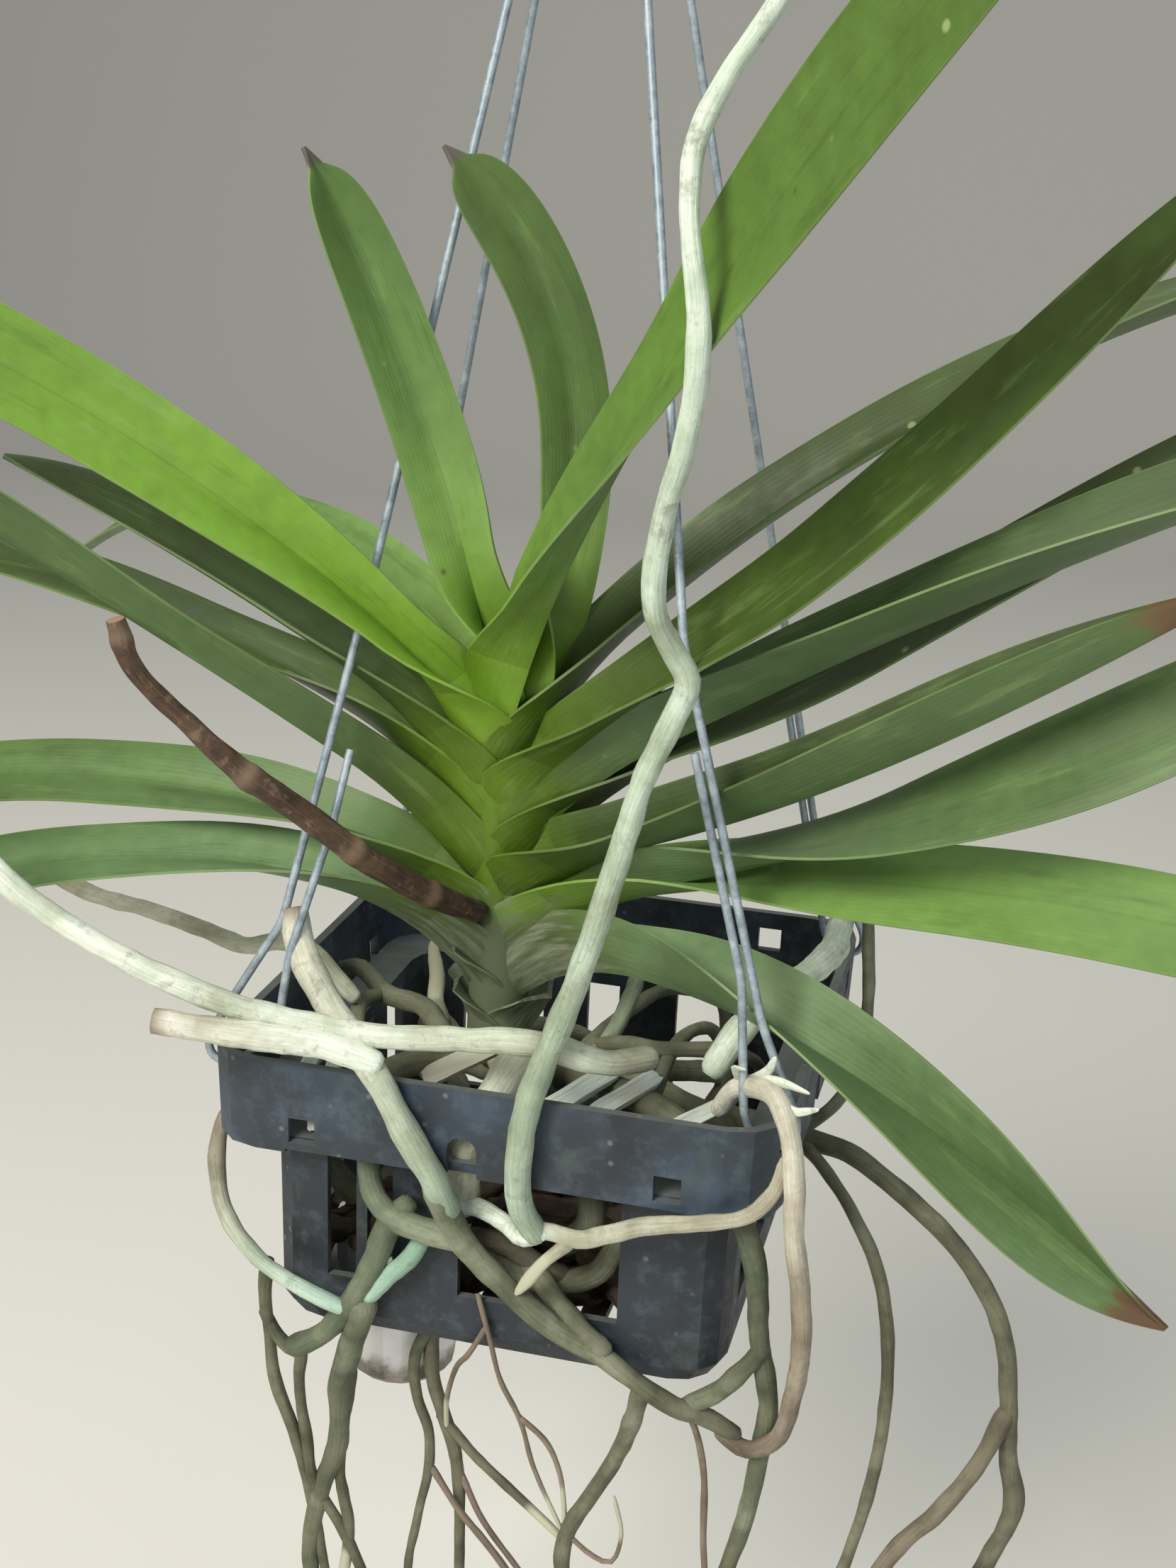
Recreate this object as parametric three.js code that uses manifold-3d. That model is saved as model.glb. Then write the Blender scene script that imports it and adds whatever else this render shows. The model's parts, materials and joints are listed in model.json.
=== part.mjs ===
// Vanda orchid growing in a slatted plastic hanging basket: strap leaves in two ranks on one stem,
// thick aerial roots over and through the basket, and a four-wire hanger that ends in a hook.
// Millimetres, +Z up. Inside the group below, z = 0 is the rim of the basket and its middle is x = y = 0;
// -Y is the front. The group is lowered so that the origin is where the hook bears on its rail.
import * as THREE from "three";
import { mergeVertices } from "three/addons/utils/BufferGeometryUtils.js";
import Module from "manifold-3d";

const wasm = await Module();
wasm.setup();

// ---- driving dimensions ----
const GAP = 0.3;                  // clearance between pieces that lie against each other
const RIM = 75;                   // half width of the basket over its skirt
const RIM_CORNER = 14;            // corner radius of the skirt
const SKIRT = 24;                 // depth of the skirt, and of its lobes at the corners
const SKIRT_LOBE = 25;
const WALL = 2.5;                 // thickness of the moulding
const WAIST = 62.5;               // half width of the slatted wall under the skirt
const FOOT = 61.5;                // half width at the floor
const DEPTH = 81.5;               // rim to underside of the floor
const WIRE = 1.1;                 // radius of the hanger wires
const EYE = [RIM, 65, -6.4];      // where each wire passes through the skirt, mirrored to four corners
const EYE_BORE = 2.0;
const COLLAR = { radius: 5.4, low: 346, high: 364 };
const HOOK = { wire: 1.6, bend: 12, centre: 388 };
const BEARING = HOOK.centre + HOOK.bend - HOOK.wire;   // height of the hook's bearing over the rim
const STEM_LOW = new THREE.Vector3(-12, -20, -6);
const STEM_HIGH = new THREE.Vector3(-12, -30, 108);
const SHEATH = 24;                // length of leaf base that belongs to the sheath on the stem
const CUP = { x: -35, y: -29, lip: 20.5, throat: 18, foot: 15, top: -64, bottom: -110, wall: 1.3 };

const UP = new THREE.Vector3(0, 0, 1);
const vec = (x, y, z) => new THREE.Vector3(x, y, z);
const lerp = THREE.MathUtils.lerp;
const rad = THREE.MathUtils.degToRad;
const ease = (x) => THREE.MathUtils.smoothstep(x, 0, 1);

// ---- solids and their meshes ----
function toSolid(geometry) {
  const bare = geometry.clone();
  bare.deleteAttribute("normal");
  bare.deleteAttribute("uv");
  const merged = mergeVertices(bare, 1e-4);
  return new wasm.Manifold(new wasm.Mesh({
    numProp: 3,
    vertProperties: merged.attributes.position.array,
    triVerts: Uint32Array.from(merged.index.array),
  }));
}

function toGeometry(solid) {
  const mesh = solid.getMesh();
  const geometry = new THREE.BufferGeometry();
  geometry.setAttribute("position", new THREE.BufferAttribute(mesh.vertProperties, 3));
  geometry.setIndex(new THREE.BufferAttribute(mesh.triVerts, 1));
  geometry.computeVertexNormals();
  return geometry;
}

function clearOf(solid, others) {
  return largest(others.reduce((rest, other) => rest.subtract(other), solid));
}

const join = (solids) => solids.reduce((sum, next) => sum.add(next));

// The one body that stays when a cut leaves loose scraps.
function largest(solid) {
  return solid.decompose().sort((a, b) => b.volume() - a.volume())[0];
}

// A closed skin over rings of equal count; the ends are fans to the ring's middle, or to an apex.
function loft(rings, start = null, end = null) {
  const count = rings[0].length;
  const vertices = rings.flat();
  const faces = [];
  for (let i = 0; i + 1 < rings.length; i += 1) {
    for (let k = 0; k < count; k += 1) {
      const a = i * count + k;
      const b = i * count + ((k + 1) % count);
      faces.push([a, b, b + count], [a, b + count, a + count]);
    }
  }
  const middle = (ring) => ring.reduce((sum, p) => sum.add(p), vec(0, 0, 0)).divideScalar(count);
  const first = vertices.push(start ?? middle(rings[0])) - 1;
  const last = vertices.push(end ?? middle(rings.at(-1))) - 1;
  const top = (rings.length - 1) * count;
  for (let k = 0; k < count; k += 1) {
    const next = (k + 1) % count;
    faces.push([first, next, k], [last, top + k, top + next]);
  }
  return skin(vertices, faces);
}

function skin(vertices, faces) {
  const volume = faces.reduce((sum, [a, b, c]) => (
    sum + vertices[a].dot(vertices[b].clone().cross(vertices[c]))), 0);
  const index = faces.map((face) => (volume > 0 ? face : face.toReversed())).flat();
  const geometry = new THREE.BufferGeometry();
  const numbers = vertices.flatMap((v) => v.toArray());
  geometry.setAttribute("position", new THREE.Float32BufferAttribute(numbers, 3));
  geometry.setIndex(index);
  return toSolid(geometry);
}

function box(low, high) {
  const size = high.map((value, i) => value - low[i]);
  const geometry = new THREE.BoxGeometry(...size);
  geometry.translate(...low.map((value, i) => value + size[i] / 2));
  return toSolid(geometry);
}

function rod(radius, length, sides = 16) {
  return new THREE.CylinderGeometry(radius, radius, length, sides).rotateX(Math.PI / 2);
}

// ---- basket ----
function squareRing(half, corner, z) {
  const ring = [];
  const steps = 3;
  for (const [turn, sx, sy] of [[0, 1, 1], [90, -1, 1], [180, -1, -1], [270, 1, -1]]) {
    for (let i = 0; i <= steps; i += 1) {
      const angle = rad(turn + (90 * i) / steps);
      ring.push(vec(
        sx * (half - corner) + corner * Math.cos(angle),
        sy * (half - corner) + corner * Math.sin(angle),
        z,
      ));
    }
  }
  return ring;
}

const hollow = (levels) => loft(levels.map(([half, corner, z]) => squareRing(half, corner, z)));

// Upright slots of each wall: from and to along it, seen from the front for front and back.
const SLOTS = {
  front: [[-45, -37], [-34, -27], [-9, 34]],
  back: [[-46, -36], [-30, -20], [-6, 4], [22, 37]],
  left: [[-48, -34], [-26, -12], [0, 14], [26, 40]],
  right: [[-40, -26], [-16, 2], [16, 30], [38, 48]],
};
const SLOT_TOP = -25.5;
const SLOT_LOW = 15.5 - DEPTH;
const FLOOR_SLOTS = [-44, -30, -16, 12, 26, 40];     // left edge of each floor slot, 7 mm wide

function wallCuts(grow) {
  const cuts = [];
  const reach = RIM + 1;
  const beyond = WAIST + 3;
  for (const [side, slots] of Object.entries(SLOTS)) {
    for (const [from, to] of slots) {
      const a = from + grow;
      const b = to - grow;
      const high = SLOT_TOP - grow;
      const low = SLOT_LOW + grow;
      if (side === "front") cuts.push(box([a, -beyond, low], [b, -40, high]));
      if (side === "back") cuts.push(box([a, 40, low], [b, beyond, high]));
      if (side === "left") cuts.push(box([-beyond, a, low], [-40, b, high]));
      if (side === "right") cuts.push(box([40, a, low], [beyond, b, high]));
    }
  }
  // Clip holes near the ends of the skirt and an arched notch in the middle of its lower edge.
  for (const [turn, high] of [[0, -15], [90, -5], [180, -5], [270, -15]]) {
    const holes = [-51, 44].map((x) => (
      box([x + grow, -reach, high - 7 + grow], [x + 7 - grow, -RIM + 3.4, high - grow])));
    const arch = toSolid(rod(4 - grow, 8, 12).rotateX(Math.PI / 2).translate(-5, -RIM, -17));
    const leg = box([-9 + grow, -reach, -SKIRT_LOBE - 1], [-1 - grow, -RIM + 3.4, -17]);
    cuts.push(join([...holes, arch, leg]).rotate([0, 0, turn]));
  }
  return cuts;
}

function basketSolid(grow = 0) {
  const g = grow;
  const inside = RIM - WALL - g;
  const lobes = hollow([[RIM - 0.8 + g, RIM_CORNER, -SKIRT_LOBE - g], [RIM - 0.7 + g, RIM_CORNER, -SKIRT]])
    .subtract(hollow([[inside - 0.8, 12, -SKIRT_LOBE - 2], [inside - 0.8, 12, -SKIRT + 1]]))
    .subtract(box([-RIM - 2, -52, -SKIRT_LOBE - 2], [RIM + 2, 52, -SKIRT - g]))
    .subtract(box([-52, -RIM - 2, -SKIRT_LOBE - 2], [52, RIM + 2, -SKIRT - g]));
  const band = hollow([[RIM - 0.7 + g, RIM_CORNER, -SKIRT - g], [RIM + g, RIM_CORNER, g]]);
  const tub = hollow([
    [FOOT - 3 + g, 11, -DEPTH - g], [FOOT + g, 12, -DEPTH + 5], [WAIST + g, 13, -SKIRT + 1],
  ]);
  const bandInside = hollow([[inside - 0.7, 12, -SKIRT + WALL + g], [inside, 12, 1 + g]]);
  const tubInside = hollow([
    [FOOT - WALL - g, 10, -DEPTH + WALL + g], [WAIST - WALL - g, 11, -SKIRT + WALL + 1],
  ]);
  let shell = join([band, tub, lobes]).subtract(bandInside).subtract(tubInside);
  for (const cut of wallCuts(g)) shell = shell.subtract(cut);
  for (const x of FLOOR_SLOTS) {
    for (const [low, high] of [[-46, -4], [4, 46]]) {
      const slot = box([x + g, low + g, -DEPTH - 1 - g], [x + 7 - g, high - g, -DEPTH + WALL + 1 + g]);
      shell = shell.subtract(slot);
    }
  }
  const cupHole = rod(CUP.throat + GAP + 0.6 - g, 12, 24).translate(CUP.x, CUP.y, -DEPTH + 1);
  const cupPad = rod(CUP.throat + 4 + g, WALL + 2 * g, 24).translate(CUP.x, CUP.y, -DEPTH + WALL / 2);
  shell = shell.add(toSolid(cupPad).intersect(tub)).subtract(toSolid(cupHole));
  for (const sy of [-1, 1]) {
    const bore = rod(EYE_BORE - g, 4 * RIM, 10).rotateX(Math.PI / 2).rotateZ(Math.PI / 2);
    shell = shell.subtract(toSolid(bore.translate(0, sy * EYE[1], EYE[2])));
  }
  return largest(shell);
}

// ---- small cup set in the floor ----
function cupSolid(grow = 0) {
  const c = CUP;
  const g = grow;
  const seat = -DEPTH + WALL + GAP;
  const profile = [
    [0, c.bottom - g], [c.foot - 2, c.bottom - g], [c.foot + g, c.bottom + 2], [c.throat + g, seat - g],
    [c.lip + g, seat - g], [c.lip + g, seat + 1.4 + g], [c.throat + 0.4 + g, seat + 1.4 + g],
    [c.throat + 0.9 + g, c.top + g], [c.throat + 0.9 - c.wall - g, c.top + g],
    [c.foot - c.wall - g, c.bottom + c.wall + 3 + g], [0, c.bottom + c.wall + 3 + g],
  ].map(([r, z]) => new THREE.Vector2(r, z));
  const turned = new THREE.LatheGeometry(profile, 20).rotateX(Math.PI / 2).translate(c.x, c.y, 0);
  const solid = toSolid(turned);
  return solid.volume() > 0 ? solid : toSolid(new THREE.LatheGeometry(profile.reverse(), 20)
    .rotateX(Math.PI / 2).translate(c.x, c.y, 0));
}

// ---- tubes along routes ----
function frames(points) {
  const tangents = points.map((p, i) => (
    (points[i + 1] ?? p).clone().sub(points[i - 1] ?? p).normalize()));
  let side = vec(0.31, 0.95, 0.12).cross(tangents[0]).normalize();
  return points.map((point, i) => {
    side = side.clone().addScaledVector(tangents[i], -side.dot(tangents[i])).normalize();
    return { point, tangent: tangents[i], side, other: tangents[i].clone().cross(side) };
  });
}

// A rounded rod through the given points; flat below 1 presses its section thinner.
function tubeThrough(route, thick, thin, { sides = 6, grow = 0, flat = 1, swell = 0.07 } = {}) {
  const stations = frames(route.map((p) => vec(...p)));
  const count = stations.length - 1;
  const rings = stations.map(({ point, side, other }, i) => {
    const end = i === 0 || i === count ? 0.85 : 1;
    const lump = 1 + swell * Math.sin(i * 1.9 + route[0][0]);
    const radius = lerp(thick, thin, i / count) * end * lump + grow;
    return Array.from({ length: sides }, (_, k) => {
      const angle = (2 * Math.PI * k) / sides;
      return point.clone()
        .addScaledVector(side, radius * Math.cos(angle))
        .addScaledVector(other, radius * flat * Math.sin(angle));
    });
  });
  const tip = (station, radius, sign) => (
    station.point.clone().addScaledVector(station.tangent, sign * (radius * 0.6 + grow)));
  return loft(rings, tip(stations[0], thick, -1), tip(stations[count], thin, 1));
}

// The same along a smooth curve through the points, with even steps.
function tube(route, thick, thin, { step = 12, ...rest } = {}) {
  const curve = new THREE.CatmullRomCurve3(route.map((p) => vec(...p)), false, "centripetal");
  const count = Math.max(2, Math.round(curve.getLength() / step));
  return tubeThrough(curve.getSpacedPoints(count).map((p) => p.toArray()), thick, thin, rest);
}

// ---- leaves ----
// heading: 0 is +X, 90 is +Y; rise and droop in degrees of climb; roll turns the upper face about the
// leaf's own axis; fold is how far each half is lifted beyond the base; touches names leaves it lies on.
const LEAVES = {
  left_1: { at: 88, heading: -155, swing: 3, rise: 77.5, droop: 17, length: 142, width: 19.2,
    roll: [130, 51], fold: 26, bend: 1.1, tip: 7, touches: ["right_2"] },
  left_2: { at: 86, heading: 148, swing: 2, rise: 35, droop: 74, length: 230, width: 24, roll: [-2, 26] },
  left_3: { at: 77, heading: -151, swing: -1, rise: 47, droop: 36, length: 302, width: 25.1, roll: [70, 68],
    fold: 17 },
  left_4: { at: 66, heading: -169, swing: -2, rise: 37, droop: 12, length: 149, width: 24, roll: [17, 23],
    fold: 35 },
  left_5: { at: 58, heading: 175, swing: 2, rise: 30, droop: 32, length: 220, width: 23.9, roll: [2, 17] },
  left_6: { at: 44, heading: -165.5, swing: 1.5, rise: 34, droop: 5.5, length: 249, width: 23.6,
    roll: [-9, -67], fold: 22 },
  left_7: { at: 30, heading: -173, swing: 2, rise: 28, droop: 65, length: 255, width: 25.2, roll: [24, 27] },
  left_8: { at: 16, heading: -163, swing: 4, rise: 30, droop: 79, length: 250, width: 25.5, roll: [6, 30] },
  right_1: { at: 94, heading: -166, rise: 124, droop: 83, length: 141, width: 19.6, roll: [64, 66], tip: 7 },
  right_2: { at: 84, heading: -48, swing: 3, rise: 56, droop: 23, length: 300, width: 27.4,
    roll: [-44, -114] },
  right_3: { at: 72, heading: 13.5, swing: -4, rise: 51, droop: 38, length: 273, width: 24.4,
    roll: [-41, 4], fold: 29 },
  right_4: { at: 62, heading: -18, rise: 36, droop: -15.5, length: 250, width: 25.9, roll: [-39, -52],
    bend: 0.9 },
  right_5: { at: 52, heading: -14, rise: 36, droop: 12, length: 270, width: 27.5, roll: [14, -47], fold: 45,
    touches: ["right_4"] },
  right_6: { at: 47.5, heading: 4, rise: 32, droop: -5.5, length: 245, width: 25, roll: [-30, -30],
    touches: ["right_5", "right_7"] },
  right_7: { at: 40, heading: -19.5, rise: 17, droop: -21.5, length: 212, width: 26.8, roll: [-52, 3],
    fold: 67, bend: 0.7, touches: ["right_5", "right_8"] },
  right_8: { at: 32.5, heading: -12.3, rise: 13.5, droop: -29.5, length: 253, width: 26.6,
    roll: [51, -112], fold: 8, touches: ["right_9"] },
  right_9: { at: 23, heading: -9, rise: 33, droop: 44.5, length: 262, width: 27.6, roll: [-2, -62],
    fold: 5, bend: 0.6 },
  right_10: { at: 10.8, heading: -18.9, swing: -0.3, rise: 67.4, droop: 98.6, length: 201.4, width: 31,
    roll: [56, -105], fold: 48.5, bend: 0.25, tip: 5, touches: ["right_9"] },
};
const FOLD_AT_BASE = 62;
const FLARE = 0.5;                // how much wider than the blade a leaf is where it clasps the stem
const CLASP = 48;                 // length over which it widens, and sweeps up from the stem
const SWEEP = 13;                 // how far the keel meets the stem below the line of the blade
const LEAF_STATIONS = 15;

const stemPoint = (height) => (
  STEM_LOW.clone().lerp(STEM_HIGH, (height - STEM_LOW.z) / (STEM_HIGH.z - STEM_LOW.z)));

// Places along a leaf from the stem outwards: where it is, which way it runs, its width and its fold.
function leafStations(leaf, from, to, count) {
  const fine = 80;
  const { swing = 0, fold = 12, bend = 1, tip = 3 } = leaf;
  const point = stemPoint(leaf.at);
  point.z -= SWEEP;
  const line = [];
  let previous = null;
  for (let i = 0; i <= fine; i += 1) {
    const u = i / fine;
    const climb = rad(leaf.rise - leaf.droop * u ** bend);
    const turn = rad(leaf.heading + swing * u);
    const along = vec(Math.cos(climb) * Math.cos(turn), Math.cos(climb) * Math.sin(turn), Math.sin(climb));
    along.z += (2 * SWEEP * Math.max(0, 1 - (u * leaf.length) / CLASP)) / CLASP;
    if (previous) point.addScaledVector(previous.clone().add(along), leaf.length / fine / 2);
    previous = along;
    line.push({ point: point.clone(), along: along.clone().normalize() });
  }
  return Array.from({ length: count + 1 }, (_, i) => {
    const u = lerp(from, to, i / count);
    const at = Math.min(u * fine, fine - 1e-6);
    const low = line[Math.floor(at)];
    const high = line[Math.floor(at) + 1];
    const place = low.point.clone().lerp(high.point, at % 1);
    const along = low.along.clone().lerp(high.along, at % 1).normalize();
    const turn = rad(leaf.heading + swing * u);
    const across = vec(Math.sin(turn), -Math.cos(turn), 0);
    const upward = across.clone().cross(along);
    const roll = rad(lerp(leaf.roll[0], leaf.roll[1], u) * ease((u * leaf.length) / 44));
    const side = across.clone().multiplyScalar(Math.cos(roll)).addScaledVector(upward, Math.sin(roll));
    const face = upward.clone().multiplyScalar(Math.cos(roll)).addScaledVector(across, -Math.sin(roll));
    const taper = u > 0.5 ? 1 - 0.94 * ((u - 0.5) / 0.5) ** tip : 1;
    const flare = 1 + FLARE * (1 - ease((u * leaf.length) / CLASP));
    return {
      place, along, side, face,
      half: (leaf.width / 2) * (0.8 + 0.2 * ease(u / 0.35)) * taper * flare,
      fold: rad(lerp(FOLD_AT_BASE, fold, ease(u / 0.45))),
    };
  });
}

// Six corners of a folded section: far edge, keel and near edge on the upper face, then back below.
function foldedSection({ place, side, face, half, fold }, thick, grow = 0) {
  const arm = (sign) => (
    side.clone().multiplyScalar(sign * Math.cos(fold)).addScaledVector(face, Math.sin(fold)));
  const normal = (sign) => (
    face.clone().multiplyScalar(Math.cos(fold)).addScaledVector(side, -sign * Math.sin(fold)));
  const edge = (sign, offset) => place.clone()
    .addScaledVector(arm(sign), half + grow)
    .addScaledVector(normal(sign), offset * (thick * 0.4 + grow));
  const keel = Math.min((thick / 2 + grow) / Math.cos(fold), 2.2 * thick);
  return [
    edge(1, 1), place.clone().addScaledVector(face, keel), edge(-1, 1),
    edge(-1, -1), place.clone().addScaledVector(face, -keel), edge(1, -1),
  ];
}

function foldedSolid(rings) {
  const vertices = rings.flat();
  const faces = [];
  const quad = (a, b, c, d) => faces.push([a, b, c], [a, c, d]);
  for (let i = 0; i + 1 < rings.length; i += 1) {
    const a = 6 * i;
    const b = a + 6;
    // The upper and lower skins are split along the same diagonals, so a thin blade never crosses itself.
    quad(a, a + 1, b + 1, b);
    quad(a + 1, a + 2, b + 2, b + 1);
    quad(a + 2, a + 3, b + 3, b + 2);
    faces.push([a + 3, a + 4, b + 3], [a + 4, b + 4, b + 3]);
    faces.push([a + 4, a + 5, b + 4], [a + 5, b + 5, b + 4]);
    quad(a + 5, a, b, b + 5);
  }
  const last = 6 * (rings.length - 1);
  quad(5, 4, 1, 0);
  quad(4, 3, 2, 1);
  quad(last, last + 1, last + 4, last + 5);
  quad(last + 1, last + 2, last + 3, last + 4);
  return skin(vertices, faces);
}

function bladeSolid(leaf, grow = 0) {
  const from = (SHEATH + GAP) / leaf.length;
  const stations = leafStations(leaf, 0, 1, LEAF_STATIONS);
  const rings = stations.map((station, i) => {
    const u = i / LEAF_STATIONS;
    return { u, ring: foldedSection(station, lerp(1.6, 1.1, u), grow) };
  }).filter(({ u }) => u > from + 0.02);
  const start = foldedSection(leafStations(leaf, from, 1, 1)[0], 1.6, grow);
  return foldedSolid([start, ...rings.map(({ ring }) => ring)]);
}

// ---- stem with the sheaths that clasp it ----
const OLD_SHEATHS = [
  { at: 5, heading: 186, rise: 52, droop: 10, length: 60, width: 22, roll: [0, 0] },
  { at: -6, heading: -8, rise: 48, droop: 10, length: 60, width: 21, roll: [0, 0] },
  { at: -8, heading: 176, rise: 56, droop: 10, length: 60, width: 22, roll: [0, 0] },
];

// A sheath is full where the younger leaves stand in it and opens into the fold of its own blade.
// Older sheaths, lower on the stem, lie outside the younger ones.
function sheathSolid(leaf, reach, grow = 0) {
  const outside = lerp(8.4, 5.2, leaf.at / 96) + grow;
  const stations = leafStations(leaf, 0.004, reach / leaf.length, 2);
  const rings = stations.map((station, i) => {
    const open = i / 2;
    const { place: at, side, face, half, fold } = station;
    const blade = foldedSection(station, 1.8, grow);
    const height = half * Math.sin(fold) + grow;
    const corner = (across, up) => at.clone().addScaledVector(side, across).addScaledVector(face, up);
    const full = [
      corner(outside * 0.8, height), corner(0, height + 0.6), corner(-outside * 0.8, height),
      corner(-outside, height * 0.25), corner(0, -2.4 - grow), corner(outside, height * 0.25),
    ];
    return full.map((point, k) => point.lerp(blade[k], open));
  });
  return foldedSolid(rings);
}

function stemSolid(grow = 0) {
  const route = [-14, 24, 62, 92].map((height) => stemPoint(height).toArray());
  const core = tubeThrough(route, 8.8, 4.5, { sides: 8, grow, swell: 0 });
  const sheaths = Object.values(LEAVES).map((leaf) => sheathSolid(leaf, SHEATH, grow));
  const stubs = OLD_SHEATHS.map((leaf) => sheathSolid(leaf, 19, grow));
  return largest(join([core, ...sheaths, ...stubs]));
}

// Old flower spike, its end cut off, with a swollen joint every few centimetres.
const SPIKE = [
  [-81.5, -100.5, 116], [-79, -98.5, 106], [-67, -91, 90], [-57.5, -85.5, 79], [-54, -83.5, 76],
  [-50, -80, 72], [-37, -68, 57], [-32, -62, 51], [-25, -51, 42], [-19, -40, 35], [-15, -31, 30],
];

function spikeSolid(grow = 0) {
  return tubeThrough(SPIKE, 3.2, 3.5, { sides: 8, grow, swell: 0.1 });
}

// ---- hanger ----
// Each wire drops from the collar to the rim, goes in through its eye and doubles back up beside itself.
const WIRE_TOP = [1.9, 1.9, 347];
const WIRE_RIM = [76.8, 65, 0];
const WIRES = {
  front_left: { sx: -1, sy: -1, middle: [41.8, 39, 122], low: [57.5, 62, 33],
    tail: [[59, 68.2, 1], [56, 68.2, 9], [54, 66, 26], [46, 58, 58], [44, 50.5, 76]] },
  front_right: { sx: 1, sy: -1, middle: [40.7, 58, 114.5], low: [66.3, 63.8, 24], top: 88 },
  back_left: { sx: -1, sy: 1, middle: [52.4, 45.4, 120], low: [63, 62, 33], top: 84 },
  back_right: { sx: 1, sy: 1, middle: [43.9, 45.4, 120], low: [60, 62, 33], top: 70 },
};

function wireRoute({ sx, sy, middle, low, top, tail }) {
  const between = (from, to, t) => from.map((value, i) => lerp(value, to[i], t));
  const beside = (z) => {
    const [x, y] = between(low, middle, (z - low[2]) / (middle[2] - low[2]));
    return [x - 2.8, y + 0.4, z];
  };
  const bent = [63.8, 67, 2];
  const back = tail ?? [
    bent, between(bent, beside(34), 0.45), beside(34), beside(lerp(34, top, 0.5)), beside(top),
  ];
  return [
    [1.9, 1.9, 358], WIRE_TOP, middle, low,
    between(low, WIRE_RIM, 0.5), between(low, WIRE_RIM, 0.82), WIRE_RIM, [77, 65, -3.6],
    [75.6, 65, -6], [73, 65, -6.9], [69, 65, -6.9], [66.6, 65.3, -5.2], [65, 66.2, -2], ...back,
  ].map(([x, y, z]) => [sx * x, sy * y, z]);
}

function wireSolid(wire, grow = 0) {
  return tubeThrough(wireRoute(wire), WIRE, WIRE, { grow, swell: 0 });
}

function collarSolid() {
  const length = COLLAR.high - COLLAR.low;
  const body = toSolid(rod(COLLAR.radius, length, 20).translate(0, 0, COLLAR.low + length / 2));
  const rodHole = toSolid(rod(HOOK.wire + GAP, 16, 12).translate(0, 0, COLLAR.high + 3));
  const holes = [[1, 1], [1, -1], [-1, 1], [-1, -1]].map(([sx, sy]) => (
    toSolid(rod(WIRE + GAP + 0.1, 22, 10).translate(sx * 1.9, sy * 1.9, COLLAR.low + 1.5))));
  return [rodHole, ...holes].reduce((rest, hole) => rest.subtract(hole), body);
}

function hookSolid() {
  const { bend, centre, wire } = HOOK;
  const arc = Array.from({ length: 8 }, (_, i) => {
    const angle = rad(-10 + (210 * i) / 7);
    return [bend * Math.cos(angle), 0, centre + bend * Math.sin(angle)];
  });
  const route = [[0, 0, COLLAR.high - 3.6], [0, 0, COLLAR.high + 2], [3, 0, COLLAR.high + 9], ...arc];
  return tube(route, wire, wire, { sides: 8, step: 4, swell: 0 });
}

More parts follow.
